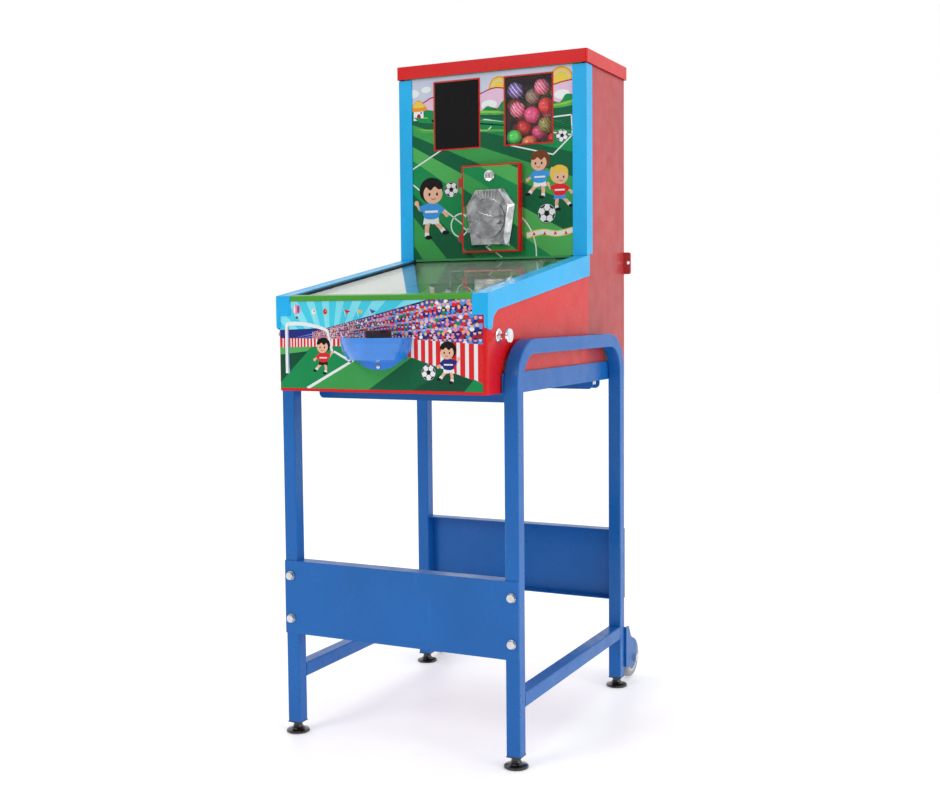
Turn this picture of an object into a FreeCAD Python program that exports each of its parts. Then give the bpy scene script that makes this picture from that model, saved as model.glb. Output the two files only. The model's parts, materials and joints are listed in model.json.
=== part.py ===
import FreeCAD, Part
import math
import os

# Ball-vending flipper machine on a wheeled stand.
# Millimetres, +Z up. While building, Y = 0 is the playfield box's front face and +Y runs to the back;
# save() moves every piece so that the origin lies under the middle of the bounding box.

# --- overall ---
TOTAL_HEIGHT = 1240.0
CUP_RADIUS = 63.5         # the half bowl stands this far out of the front face
WHEEL_Y = 622.0
WHEEL_Z = 43.0
WHEEL_RADIUS = 40.0
ORIGIN_Y = (WHEEL_Y + WHEEL_RADIUS - CUP_RADIUS) / 2

# --- stand ---
TUBE = 25.0               # square tube size
TUBE_WALL = 1.5
TUBE_EDGE = 2.5           # tube corner radius
FRAME_OUT = 228.0         # outer face of a side frame
FRAME_IN = FRAME_OUT - TUBE
LEG_FRONT = 50.0          # front face of the front legs
LEG_REAR = 570.0          # rear face of the rear legs
LEG_BOTTOM = 20.0
FRAME_TOP = 707.0
BEND_RADIUS = 75.0
RAIL_BOTTOM = 98.0
SHEET = 1.5
FRONT_PANEL_Z = (182.0, 313.0)
REAR_PANEL_Z = (177.0, 317.0)
PANEL_FLANGE = 24.0
PANEL_BOLT_X = 215.5
PANEL_BOLT_Z = (209.0, 286.0)
ANGLE_THICK = 3.0
ANGLE_SIZE = 35.0
CABINET_BOTTOM = 620.0
CHANNEL_Y = (115.0, 487.0)
CHANNEL_WIDTH = 40.0
CHANNEL_HEIGHT = 17.0
CHANNEL_HALF = 192.0
CABINET_BOLT_X = 184.0
BOLT_RADIUS = 4.0         # M8
BOLT_HOLE = 4.5
HEX_ACROSS = 13.0

# --- feet and wheels ---
FOOT_STEM = 5.0
FOOT_RADIUS = 21.0
AXLE_RADIUS = 5.0
RUNNING_GAP = 0.05        # radial clearance of a running fit
TYRE_INNER = 29.0
WHEEL_X = (205.0, 227.0)
BRACKET_X = (200.0, 232.0)
BRACKET_SHEET = 2.0

# --- playfield box ---
CABINET_HALF = 198.0
BOX_DEPTH = 450.0
BOX_FRONT_TOP = 775.0
SLOPE = 0.1677            # rise of the glass per unit of depth
TRIM_TOP = 782.0          # height of the side trim's top at the front face
TRIM_OUT = 201.0
TRIM_LIP_IN = 173.0
GLASS_TOP = 778.0
GLASS_THICK = 4.0
GLASS_FRONT = 2.5
BAR_DEPTH = 11.0
BOARD_TOP = 734.0
BOARD_THICK = 6.0
BOARD_HALF = 194.0
DRAIN_HALF = 45.0
SLOT_HALF = 25.0
SLOT_Z = (686.0, 723.0)
CUP_RIM = 712.0
CUP_FLOOR = 668.0
CUP_WALL = 2.2
CUP_SCREW_Z = 663.4

# --- flippers ---
PIVOT_X = 72.0
PIVOT_Y = 54.7
BAT_LENGTH = 52.0
BAT_REST = 25.0           # degrees below square to the table's length
CRANK_LENGTH = 18.0
CRANK_REST = 16.0         # degrees each side of its middle
CRANK_DROP = 26.7         # pin centre below the board's top, along the shaft
BUTTON_Y = 42.0
BUTTON_Z = 714.0
ROD_RADIUS = 4.0
SHAFT_RADIUS = 5.0

# --- tower ---
TOWER_FRONT = 440.0
TOWER_REAR = 655.0
TOWER_NECK = 1234.0       # the walls run up inside the lid's skirt
LID_BOTTOM = 1215.0
LID_OVERHANG = 5.0
POST_TOP = 1213.0
PANEL_BOTTOM = 853.0
WINDOWS = ((-121.0, -24.0, 1073.0, 1203.0), (32.0, 130.0, 1073.0, 1201.0))
DOOR = (-55.5, 67.0, 867.0, 1036.0)
DOOR_FRONT = 425.0
DOOR_CUT = (-50.0, 62.0, 873.0, 1030.0)
MECH_X = 5.3              # centre line of the coin mechanism and lock
MECH_Z = 930.0
LOCK_Z = 1014.0
DIAL_RADIUS = 37.5
DOOR_AXIS = (-58.3, 436.8)
LID_AXIS = (659.2, 1211.5)
REAR_AXIS = (-191.0, 658.5)
PIN_RADIUS = 1.5
KNUCKLE_RADIUS = 2.5
DISPENSER_RADIUS = 58.0
CHUTE_X = 125.0           # where the ball enters the playfield
CHUTE_Z = 832.2
CHUTE_BORE = 19.0
BALL_RADIUS = 15.6
BALL_PITCH = 31.3         # the least distance between two ball centres
BIN_PLAN = (14.0, 180.0, 446.0, 562.0)
WINDOW_BALLS = (
    (43.4, 462.3, 1179.4), (100.2, 462.3, 1181.6), (75.9, 475.0, 1166.3), (31.4, 487.5, 1153.0),
    (47.7, 462.3, 1141.7), (79.1, 462.3, 1129.8), (108.6, 462.3, 1144.8),
    (52.1, 482.5, 1109.6), (108.4, 462.3, 1108.7), (85.9, 482.5, 1097.7), (40.3, 462.3, 1088.2),
    (73.5, 462.5, 1074.9))
HASP_Z = (825.0, 869.0)
HASP_HOLE = (207.5, 848.0)
HASP_RADIUS = 3.5

X_AXIS = FreeCAD.Vector(1, 0, 0)
Y_AXIS = FreeCAD.Vector(0, 1, 0)
Z_AXIS = FreeCAD.Vector(0, 0, 1)


# --- helpers ---
def vec(x, y, z):
    return FreeCAD.Vector(x, y, z)


def box(x0, x1, y0, y1, z0, z1):
    return Part.makeBox(x1 - x0, y1 - y0, z1 - z0, vec(x0, y0, z0))


def rod(start, end, radius):
    a = vec(*start)
    along = vec(*end) - a
    return Part.makeCylinder(radius, along.Length, a, along)


def rounded(points):
    """Closed outline from (u, v, corner radius) points, as edges in the XY plane."""
    count = len(points)
    edges = []
    starts = []
    ends = []
    mids = []
    for i in range(count):
        here = vec(points[i][0], points[i][1], 0)
        before = vec(points[i - 1][0], points[i - 1][1], 0) - here
        after = vec(points[(i + 1) % count][0], points[(i + 1) % count][1], 0) - here
        radius = points[i][2]
        if radius == 0:
            starts.append(here)
            ends.append(here)
            mids.append(None)
            continue
        before.normalize()
        after.normalize()
        half = before.getAngle(after) / 2
        reach = radius / math.tan(half)
        middle = before + after
        middle.normalize()
        centre = here + middle * (radius / math.sin(half))
        starts.append(here + before * reach)
        ends.append(here + after * reach)
        mids.append(centre - middle * radius)
    for i in range(count):
        if mids[i] is not None:
            edges.append(Part.Arc(starts[i], mids[i], ends[i]).toShape())
        following = starts[(i + 1) % count]
        if (following - ends[i]).Length > 1e-6:
            edges.append(Part.makeLine(ends[i], following))
    return Part.Wire(edges)


def sharp(points):
    return [(u, v, 0) for u, v in points]


def prism_x(points, x0, x1):
    """Outline in Y and Z, extruded from x0 to x1."""
    face = Part.Face(rounded(points))
    face.rotate(vec(0, 0, 0), vec(1, 1, 1), 120)
    face.translate(vec(x0, 0, 0))
    return face.extrude(vec(x1 - x0, 0, 0))


def prism_y(points, y0, y1):
    """Outline in X and Z, extruded from y0 to y1."""
    face = Part.Face(rounded(points))
    face.rotate(vec(0, 0, 0), X_AXIS, 90)
    face.translate(vec(0, y0, 0))
    return face.extrude(vec(0, y1 - y0, 0))


def prism_z(points, z0, z1):
    """Outline in X and Y, extruded from z0 to z1."""
    face = Part.Face(rounded(points))
    face.translate(vec(0, 0, z0))
    return face.extrude(vec(0, 0, z1 - z0))


def rounded_box(x0, x1, y0, y1, radius):
    return [(x0, y0, radius), (x1, y0, radius), (x1, y1, radius), (x0, y1, radius)]


def turned(profile, base, axis):
    """Solid of revolution: (radius, height) points round the axis through base."""
    wire = Part.makePolygon([vec(r, 0, h) for r, h in profile + profile[:1]])
    solid = Part.Face(wire).revolve(vec(0, 0, 0), Z_AXIS, 360)
    solid.Placement = FreeCAD.Placement(vec(*base), FreeCAD.Rotation(Z_AXIS, vec(*axis)))
    return solid


def hexagon(across, base, axis, height):
    corners = [vec(math.cos(math.pi * i / 3), math.sin(math.pi * i / 3), 0) for i in range(7)]
    radius = across / math.sqrt(3)
    solid = Part.Face(Part.makePolygon([c * radius for c in corners])).extrude(vec(0, 0, height))
    solid.Placement = FreeCAD.Placement(vec(*base), FreeCAD.Rotation(Z_AXIS, vec(*axis)))
    return solid


def fuse(first, *others):
    result = first
    for other in others:
        result = result.fuse(other)
    return result.removeSplitter()


def cut(body, *tools):
    for tool in tools:
        body = body.cut(tool)
    return body


def mirror(shape):
    return shape.mirror(vec(0, 0, 0), X_AXIS)


def sloped(height, y):
    """Height of a plane parallel to the glass that starts at height above the front face."""
    return height + SLOPE * y


def sloped_slab(x0, x1, y0, y1, low, high):
    corners = [(y0, sloped(low, y0)), (y1, sloped(low, y1)), (y1, sloped(high, y1)), (y0, sloped(high, y0))]
    return prism_x(sharp(corners), x0, x1)


def on_table(shape, x, y):
    """Stands a shape built at the origin on the board's top plane, square to it."""
    shape.rotate(vec(0, 0, 0), X_AXIS, math.degrees(math.atan(SLOPE)))
    shape.translate(vec(x, y, sloped(BOARD_TOP, y)))
    return shape


def save(node, *solids):
    shape = solids[0] if len(solids) == 1 else Part.makeCompound(list(solids))
    shape = shape.copy()
    shape.translate(vec(0, -ORIGIN_Y, 0))
    shape.exportStep("parts/" + node + ".step")


# --- stand ---
def arch(inset, x0, x1, bottom):
    """Inverted U block, drawn in from the frame's outline by inset."""
    radius = BEND_RADIUS - inset
    top = FRAME_TOP - inset
    y0 = LEG_FRONT + inset
    y1 = LEG_REAR - inset
    return prism_x([(y0, bottom, 0), (y1, bottom, 0), (y1, top, radius), (y0, top, radius)], x0, x1)


def long_edges(shape, low):
    """Every edge except those in the cut ends at height low."""
    return [e for e in shape.Edges if e.BoundBox.ZMax > low + 0.01]


def side_frame():
    outside = cut(arch(0, FRAME_IN, FRAME_OUT, LEG_BOTTOM), arch(TUBE, FRAME_IN - 1, FRAME_OUT + 1, 0))
    outside = outside.makeFillet(TUBE_EDGE, long_edges(outside, LEG_BOTTOM))
    x0 = FRAME_IN + TUBE_WALL
    x1 = FRAME_OUT - TUBE_WALL
    hollow = cut(arch(TUBE_WALL, x0, x1, 0), arch(TUBE - TUBE_WALL, x0 - 1, x1 + 1, -1))
    frame = cut(outside, hollow)
    for z in PANEL_BOLT_Z:
        frame = cut(frame, rod((PANEL_BOLT_X, LEG_FRONT - 1, z), (PANEL_BOLT_X, LEG_FRONT + 3, z), BOLT_HOLE))
        frame = cut(frame, rod((PANEL_BOLT_X, LEG_REAR - 3, z), (PANEL_BOLT_X, LEG_REAR + 1, z), BOLT_HOLE))
    return frame


def lower_side_rail():
    y0 = LEG_FRONT + TUBE
    y1 = LEG_REAR - TUBE
    bar = box(FRAME_IN, FRAME_OUT, y0, y1, RAIL_BOTTOM, RAIL_BOTTOM + TUBE)
    bar = bar.makeFillet(TUBE_EDGE, [e for e in bar.Edges if e.BoundBox.YLength > TUBE * 2])
    w = TUBE_WALL
    return cut(bar, box(FRAME_IN + w, FRAME_OUT - w, y0 - 1, y1 + 1, RAIL_BOTTOM + w, RAIL_BOTTOM + TUBE - w))


def stand_panel(heights, face, inward):
    """Sheet across two legs; inward is +1 if its flanges run to the back, -1 to the front."""
    low, high = heights
    front = face - SHEET * inward
    panel = box(-FRAME_OUT, FRAME_OUT, min(front, face), max(front, face), low, high)
    tip = face + PANEL_FLANGE * inward
    for z in (low, high - SHEET):
        near, far = sorted((front, tip))
        panel = panel.fuse(box(0.5 - FRAME_IN, FRAME_IN - 0.5, near, far, z, z + SHEET))
    panel = panel.removeSplitter()
    for x in (-PANEL_BOLT_X, PANEL_BOLT_X):
        for z in PANEL_BOLT_Z:
            panel = cut(panel, rod((x, face - 5, z), (x, face + 5, z), BOLT_HOLE))
    return panel


def support_angle():
    z0 = CABINET_BOTTOM - ANGLE_THICK
    upright = box(FRAME_IN - ANGLE_THICK, FRAME_IN, LEG_FRONT, LEG_REAR, z0, z0 + ANGLE_SIZE)
    ledge = box(FRAME_IN - ANGLE_SIZE, FRAME_IN, LEG_FRONT, LEG_REAR, z0, CABINET_BOTTOM)
    return cut(fuse(upright, ledge), *[cabinet_hole(CABINET_BOLT_X, y) for y in bolt_rows()])


def bolt_rows():
    return [y + CHANNEL_WIDTH / 2 for y in CHANNEL_Y]


def cabinet_hole(x, y):
    return rod((x, y, CABINET_BOTTOM - 30), (x, y, CABINET_BOTTOM + 10), BOLT_HOLE)


def cross_channel(y0):
    top = CABINET_BOTTOM - ANGLE_THICK
    low = top - CHANNEL_HEIGHT
    half = CHANNEL_HALF
    outline = [(-half, low, 9), (half, low, 9), (half, top, 0), (-half, top, 0)]
    channel = prism_y(outline, y0, y0 + CHANNEL_WIDTH)
    inner = box(-half - 1, half + 1, y0 + 2, y0 + CHANNEL_WIDTH - 2, low - 1, top - 2)
    middle = y0 + CHANNEL_WIDTH / 2
    return cut(channel, inner, cabinet_hole(-CABINET_BOLT_X, middle), cabinet_hole(CABINET_BOLT_X, middle))


def hex_bolt(seat, out, shank):
    """Bolt with a washer under its head: seat is the clamped face's point, out points to the head."""
    s = vec(*seat)
    o = vec(*out)
    washer = Part.makeCylinder(8, 1.5, s, o)
    head = hexagon(HEX_ACROSS, tuple(s + o * 1.5), out, 5.3)
    crown = turned([(0, 0), (7.5, 0), (7.5, 3.6), (6.3, 5.3), (0, 5.3)], tuple(s + o * 1.5), out)
    stem = Part.makeCylinder(BOLT_RADIUS, shank, s, o * -1)
    return fuse(washer, head.common(crown), stem)


def bolts_and_screws():
    parts = []
    for x in (-PANEL_BOLT_X, PANEL_BOLT_X):
        for z in PANEL_BOLT_Z:
            parts.append(hex_bolt((x, LEG_FRONT - SHEET, z), (0, -1, 0), 18))
            parts.append(hex_bolt((x, LEG_REAR + SHEET, z), (0, 1, 0), 18))
    web = CABINET_BOTTOM - ANGLE_THICK - 2
    for x in (-CABINET_BOLT_X, CABINET_BOLT_X):
        for y in bolt_rows():
            parts.append(hex_bolt((x, y, web), (0, 0, -1), 16))
            nut = hexagon(HEX_ACROSS, (x, y, CABINET_BOTTOM + SHEET), (0, 0, 1), 6.5)
            parts.append(cut(nut, rod((x, y, web), (x, y, CABINET_BOTTOM + 12), BOLT_RADIUS)))
    profile = [(0, 0), (2, 0), (2, 6), (3.6, 6), (3.6, 7), (2.6, 8.2), (0, 8.6)]
    parts.append(turned(profile, (0, 6 - CUP_WALL, CUP_SCREW_Z), (0, -1, 0)))
    return parts


def end_cap(x, y):
    """Plug with a flange for a leg's open end; the foot's stem runs in it."""
    half = TUBE / 2
    inner = half - TUBE_WALL - 0.2
    flange = box(x - half, x + half, y - half, y + half, LEG_BOTTOM - 2, LEG_BOTTOM)
    plug = box(x - inner, x + inner, y - inner, y + inner, LEG_BOTTOM - 1, LEG_BOTTOM + 22)
    return cut(fuse(flange, plug), rod((x, y, 0), (x, y, 60), FOOT_STEM + RUNNING_GAP))


def levelling_foot(x, y):
    profile = [(0, 0), (FOOT_RADIUS - 0.8, 0), (FOOT_RADIUS, 0.8), (FOOT_RADIUS, 2.6), (19.5, 4.2)]
    profile += [(13, 6.2), (9.4, 9), (8, 12.5), (8, 17.4), (FOOT_STEM, 17.4), (FOOT_STEM, 58), (0, 58)]
    return turned(profile, (x, y, 0), (0, 0, 1))


def wheel_bracket():
    x0, x1 = BRACKET_X
    y0 = LEG_REAR
    outline = [(y0, 36, 0), (y0, 117, 0), (y0 + 14, 117, 3), (y0 + 30, 91, 14)]
    outline += [(y0 + 64, 76, 20), (y0 + 64, 26, 18), (y0 + 26, 30, 10)]
    cheek_out = prism_x(outline, x1 - BRACKET_SHEET, x1)
    cheek_in = prism_x(outline, x0, x0 + BRACKET_SHEET)
    web = box(x0, x1, y0, y0 + BRACKET_SHEET, 36, 117)
    axle = rod((x0 - 1, WHEEL_Y, WHEEL_Z), (x1 + 1, WHEEL_Y, WHEEL_Z), AXLE_RADIUS)
    return cut(fuse(web, cheek_out, cheek_in), axle)


def wheel_axle():
    x0, x1 = BRACKET_X
    stem = rod((x0 - 6.5, WHEEL_Y, WHEEL_Z), (x1, WHEEL_Y, WHEEL_Z), AXLE_RADIUS)
    head = hexagon(15, (x1, WHEEL_Y, WHEEL_Z), (1, 0, 0), 5)
    nut = hexagon(15, (x0, WHEEL_Y, WHEEL_Z), (-1, 0, 0), 5.5)
    return fuse(stem, head, nut)


def wheel_hub():
    x0, x1 = WHEEL_X
    boss0 = BRACKET_X[0] + BRACKET_SHEET + 1
    boss1 = BRACKET_X[1] - BRACKET_SHEET - 1
    bore = AXLE_RADIUS + RUNNING_GAP
    middle = (x0 + x1) / 2
    profile = [(bore, boss0), (10, boss0), (10, middle - 3), (24, middle - 3), (24, x0), (TYRE_INNER, x0)]
    profile += [(TYRE_INNER, x1), (24, x1), (24, middle + 3), (10, middle + 3), (10, boss1), (bore, boss1)]
    hub = turned(profile, (0, WHEEL_Y, WHEEL_Z), (1, 0, 0))
    for i in range(5):
        turn = 2 * math.pi * i / 5
        y = WHEEL_Y + 17 * math.cos(turn)
        z = WHEEL_Z + 17 * math.sin(turn)
        hub = cut(hub, rod((x0, y, z), (x1, y, z), 4.5))
    return hub


def tyre():
    x0, x1 = WHEEL_X
    r = WHEEL_RADIUS
    profile = [(TYRE_INNER, x0), (r - 3.5, x0), (r - 1, x0 + 2.5), (r, x0 + 6), (r, x1 - 6)]
    profile += [(r - 1, x1 - 2.5), (r - 3.5, x1), (TYRE_INNER, x1)]
    return turned(profile, (0, WHEEL_Y, WHEEL_Z), (1, 0, 0))


# --- playfield box ---
def front_rounded(shape, radius):
    """Rounds the two upright edges at the front of a box."""
    low = shape.BoundBox.YMin
    edges = [e for e in shape.Edges if e.BoundBox.YMax < low + 0.01 and e.BoundBox.ZLength > 50]
    return shape.makeFillet(radius, edges)


def playfield_cabinet():
    w = CABINET_HALF
    side_front = TRIM_TOP - 2.3
    outer = [(0, CABINET_BOTTOM), (BOX_DEPTH, CABINET_BOTTOM), (BOX_DEPTH, sloped(side_front, BOX_DEPTH))]
    shell = front_rounded(prism_x(sharp(outer + [(0, side_front)]), -w, w), 5)
    s = SHEET
    inner = [(s, CABINET_BOTTOM + s), (BOX_DEPTH + 1, CABINET_BOTTOM + s), (BOX_DEPTH + 1, 900), (s, 900)]
    shell = cut(shell, front_rounded(prism_x(sharp(inner), s - w, w - s), 3.5))
    shell = cut(shell, box(8 - w, w - 8, -1, 3, BOX_FRONT_TOP, 800))
    for side in (-1, 1):
        edge = side * (w - s + 0.2)
        lip = side * (TRIM_LIP_IN - 2)
        support = side * (w - 18)
        shell = fuse(shell, sloped_slab(min(edge, lip), max(edge, lip), 6, BOX_DEPTH - 1, 770, 772))
        board_low = BOARD_TOP - BOARD_THICK
        shell = fuse(shell, sloped_slab(min(edge, support), max(edge, support), 70, BOX_DEPTH - 1,
                                        board_low - 2, board_low))
        hole = rod((side * (w - 5), BUTTON_Y, BUTTON_Z), (side * (w + 5), BUTTON_Y, BUTTON_Z), 8)
        shell = cut(shell, hole, cabinet_hole(side * CABINET_BOLT_X, bolt_rows()[0]))
    slot = rounded_box(-SLOT_HALF, SLOT_HALF, SLOT_Z[0], SLOT_Z[1], 4)
    return cut(shell, prism_y(slot, -1, s + 1), rod((0, -1, CUP_SCREW_Z), (0, 3, CUP_SCREW_Z), 2))


def side_trim():
    back = BOX_DEPTH
    outline = [(-2, TRIM_TOP, 3), (back, sloped(TRIM_TOP, back), 0), (back, 818, 0), (36.5, 756, 8)]
    outline += [(19, 745, 10), (14.5, 724.5, 7), (-2, 724.5, 7)]
    side = prism_x(outline, CABINET_HALF, TRIM_OUT)
    lip = sloped_slab(TRIM_LIP_IN, TRIM_OUT, 0, back, TRIM_TOP - 2, TRIM_TOP)
    lip = cut(lip, box(0, TRIM_OUT + 1, -1, 0, 700, 800))
    cap_outline = [(TRIM_LIP_IN, TRIM_TOP, 0), (TRIM_OUT, TRIM_TOP, 3), (TRIM_OUT, 748, 0)]
    cap_outline += [(TRIM_LIP_IN, 748, 3)]
    cap = prism_y(cap_outline, -2, 0)
    strip = prism_y([(194, 749, 0), (TRIM_OUT, 749, 0), (TRIM_OUT, 727, 3), (194, 727, 3)], -2, 0)
    return fuse(side.common(box(0, TRIM_OUT, -2, back, 700, 900)), lip, cap, strip)


def lock_bar():
    """Narrow angle over the glass's front edge."""
    half = TRIM_LIP_IN - 0.5
    top = TRIM_TOP - 0.6
    outline = [(-2, 773, 0), (-2, top, 1.5), (BAR_DEPTH, top + 2.2, 0), (BAR_DEPTH, top + 0.4, 0)]
    outline += [(-0.6, top - 1.6, 0), (-0.6, 773, 0)]
    return prism_x(outline, -half, half)


def playfield_glass():
    return sloped_slab(-184, 184, GLASS_FRONT, BOX_DEPTH - 1, GLASS_TOP - GLASS_THICK, GLASS_TOP)


def glass_gasket():
    rear = BOX_DEPTH - 1
    front = BAR_DEPTH + 0.5
    strip = sloped_slab(168, 187, front, rear, GLASS_TOP - GLASS_THICK - 2, GLASS_TOP + 2)
    groove = sloped_slab(167, 184, front - 1, rear + 1, GLASS_TOP - GLASS_THICK, GLASS_TOP)
    return cut(strip, groove)


def playfield_board():
    board = sloped_slab(-BOARD_HALF, BOARD_HALF, 6, BOX_DEPTH - 2, BOARD_TOP - BOARD_THICK, BOARD_TOP)
    board = cut(board, box(-DRAIN_HALF, DRAIN_HALF, 12, 50, 700, 780))
    for x in (-PIVOT_X, PIVOT_X):
        hole = Part.makeCylinder(SHAFT_RADIUS + RUNNING_GAP, 30, vec(0, 0, -15), Z_AXIS)
        board = cut(board, on_table(hole, x, PIVOT_Y))
    return board


def playfield_guides():
    """Side walls, the rear wall with the ball's way in, and the two slanting lower guides."""
    parts = []
    rear = BOX_DEPTH - 6
    wall = sloped_slab(168, 170.5, 6, rear, BOARD_TOP, 771.5)
    rear_wall = sloped_slab(-167.5, 167.5, rear, rear + 2, BOARD_TOP, GLASS_TOP - GLASS_THICK - 0.5)
    ball_entry = rod((CHUTE_X, rear - 5, CHUTE_Z), (CHUTE_X, rear + 5, CHUTE_Z), CHUTE_BORE)
    parts.append(cut(rear_wall, ball_entry))
    for side in (-1, 1):
        parts.append(wall if side > 0 else mirror(wall))
        outline = [(0, 0, 1.5), (95, 0, 1.5), (95, 4, 1.5), (0, 4, 1.5)]
        guide = prism_z(outline, 0, 20)
        guide.rotate(vec(0, 0, 0), Z_AXIS, 38)
        guide = guide if side > 0 else mirror(guide)
        parts.append(on_table(guide, side * 88, 66))
    return parts


def goal_frame():
    """White tube goal with a sloping back, standing on the board."""
    y0 = 380.0
    y1 = 425.0
    half = 65.0
    r = 2.5
    top = 829.0
    parts = []
    for x in (MECH_X - half, MECH_X + half):
        parts.append(rod((x, y0, sloped(BOARD_TOP, y0 + r)), (x, y0, top), r))
        parts.append(rod((x, y0, top), (x, y1, sloped(BOARD_TOP, y1) + r), r * 0.7))
        parts.append(Part.makeSphere(r, vec(x, y0, top)))
    parts.append(rod((MECH_X - half, y0, top), (MECH_X + half, y0, top), r))
    low = sloped(BOARD_TOP, y1) + r
    parts.append(rod((MECH_X - half, y1, low), (MECH_X + half, y1, low), r * 0.7))
    return fuse(*parts)


def cup_profile(inset):
    """Half outline of the bowl: an upright band, a crease, and a shallow floor."""
    r = CUP_RADIUS - inset
    low = CUP_FLOOR + inset
    return [(0, low), (r - 12, low + 8), (r - 3.5, 690), (r - 0.6, 702), (r, CUP_RIM)]


def ball_cup():
    """Half bowl with a screwed flange that hangs below its floor against the cabinet."""
    rim = CUP_RIM
    r = CUP_RADIUS - CUP_WALL
    outer = turned(cup_profile(0) + [(0, rim)], (0, 0, 0), (0, 0, 1))
    inner = turned(cup_profile(CUP_WALL) + [(r, rim + 1), (0, rim + 1)], (0, 0, 0), (0, 0, 1))
    bowl = cut(outer, inner, box(-100, 100, 0, 100, 600, 800))
    outline = [(-52, 677, 0), (52, 677, 0), (43, 673.5, 15), (24, 661.5, 15), (8, 658.2, 15)]
    outline += [(-8, 658.2, 15), (-24, 661.5, 15), (-43, 673.5, 15)]
    flange = prism_y(outline, -CUP_WALL, 0)
    return cut(fuse(bowl, flange), rod((0, -5, CUP_SCREW_Z), (0, 1, CUP_SCREW_Z), 2))


def exit_chute():
    half = DRAIN_HALF + 2.5
    outer = [(1.6, 684.4), (58, 698.5), (58, 737.2), (1.6, 727.8)]
    inner = [(0, 686.1), (56.5, 700.1), (56.5, 750), (0, 750)]
    return cut(prism_x(sharp(outer), -half, half), prism_x(sharp(inner), 1.5 - half, half - 1.5))


def flipper():
    """Right bat with its rubber-shaped outline, pointing to the centre and down the table."""
    tip = 5.5
    butt = 8.5
    blade = Part.makeCylinder(butt, 15, vec(0, 0, 1), Z_AXIS)
    end = Part.makeCylinder(tip, 15, vec(-BAT_LENGTH, 0, 1), Z_AXIS)
    tilt = math.asin((butt - tip) / BAT_LENGTH)
    corners = []
    for centre, radius, side in ((0, butt, 1), (-BAT_LENGTH, tip, 1), (-BAT_LENGTH, tip, -1), (0, butt, -1)):
        corners.append((centre - radius * math.sin(tilt), side * radius * math.cos(tilt), 0))
    bat = fuse(blade, end, prism_z(corners, 1, 16))
    bat = cut(bat, Part.makeCylinder(SHAFT_RADIUS, 30, vec(0, 0, -5), Z_AXIS))
    bat.rotate(vec(0, 0, 0), Z_AXIS, BAT_REST)
    return on_table(bat, PIVOT_X, PIVOT_Y)


def flipper_crank():
    """Shaft through the board with a crank arm and pin below it."""
    low = -CRANK_DROP
    shaft = Part.makeCylinder(SHAFT_RADIUS, 17 - low - 7, vec(0, 0, low + 7), Z_AXIS)
    arm = prism_z(rounded_box(-5.5, 5.5, -CRANK_LENGTH - 5, 5.5, 4), low + 5.5, low + 10.5)
    pin = Part.makeCylinder(2.5, 13, vec(0, -CRANK_LENGTH, low - 6.5), Z_AXIS)
    crank = fuse(shaft, arm, pin)
    crank.rotate(vec(0, 0, 0), Z_AXIS, CRANK_REST)
    return on_table(crank, PIVOT_X, PIVOT_Y)


def flipper_button():
    """Push rod with the chrome button outside and a slotted block on the crank pin inside."""
    y = BUTTON_Y
    z = BUTTON_Z
    pin_x = PIVOT_X + CRANK_LENGTH * math.sin(math.radians(CRANK_REST))
    block = prism_z(rounded_box(pin_x - 8, pin_x + 9, y - 12, y + 12, 2), z - 4, z + 4)
    slot = prism_z(rounded_box(pin_x - 3.1, pin_x + 3.1, y - 8, y + 8, 3), z - 6, z + 6)
    stem = rod((pin_x + 7, y, z), (207, y, z), ROD_RADIUS)
    collar = rod((148, y, z), (152, y, z), 7)
    profile = [(0, 205), (ROD_RADIUS, 205), (ROD_RADIUS, 213.4), (8, 214), (11.5, 214.6), (12, 216)]
    profile += [(12, 218.6), (11, 220), (8.5, 219.6), (6, 218.9), (0, 218.6)]
    head = turned(profile, (0, y, z), (1, 0, 0))
    return fuse(cut(block, slot), stem, collar, head)


def button_bezel():
    bore = ROD_RADIUS + RUNNING_GAP
    profile = [(bore, 188), (7.8, 188), (7.8, 198), (11.5, 198), (11.5, 199.6), (9.5, 201), (7, 201.4)]
    profile += [(6.5, 203), (bore, 203)]
    return turned(profile, (0, BUTTON_Y, BUTTON_Z), (1, 0, 0))


def button_spring():
    """Compression spring between the rod guide and the rod's collar."""
    pitch = 4.6
    height = 36.0
    coil = Part.makeHelix(pitch, height, 6.0)
    wire = Part.Wire([Part.makeCircle(0.6, vec(6.0, 0, 0), Y_AXIS)])
    spring = Part.Wire(coil).makePipeShell([wire], True, True)
    spring.Placement = FreeCAD.Placement(vec(111, BUTTON_Y, BUTTON_Z), FreeCAD.Rotation(Z_AXIS, X_AXIS))
    return spring


def rod_guide():
    plate = box(106, 110, 29, 55, 700, sloped(BOARD_TOP - BOARD_THICK, 29))
    return cut(plate, rod((100, BUTTON_Y, BUTTON_Z), (115, BUTTON_Y, BUTTON_Z), ROD_RADIUS + RUNNING_GAP))


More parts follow.
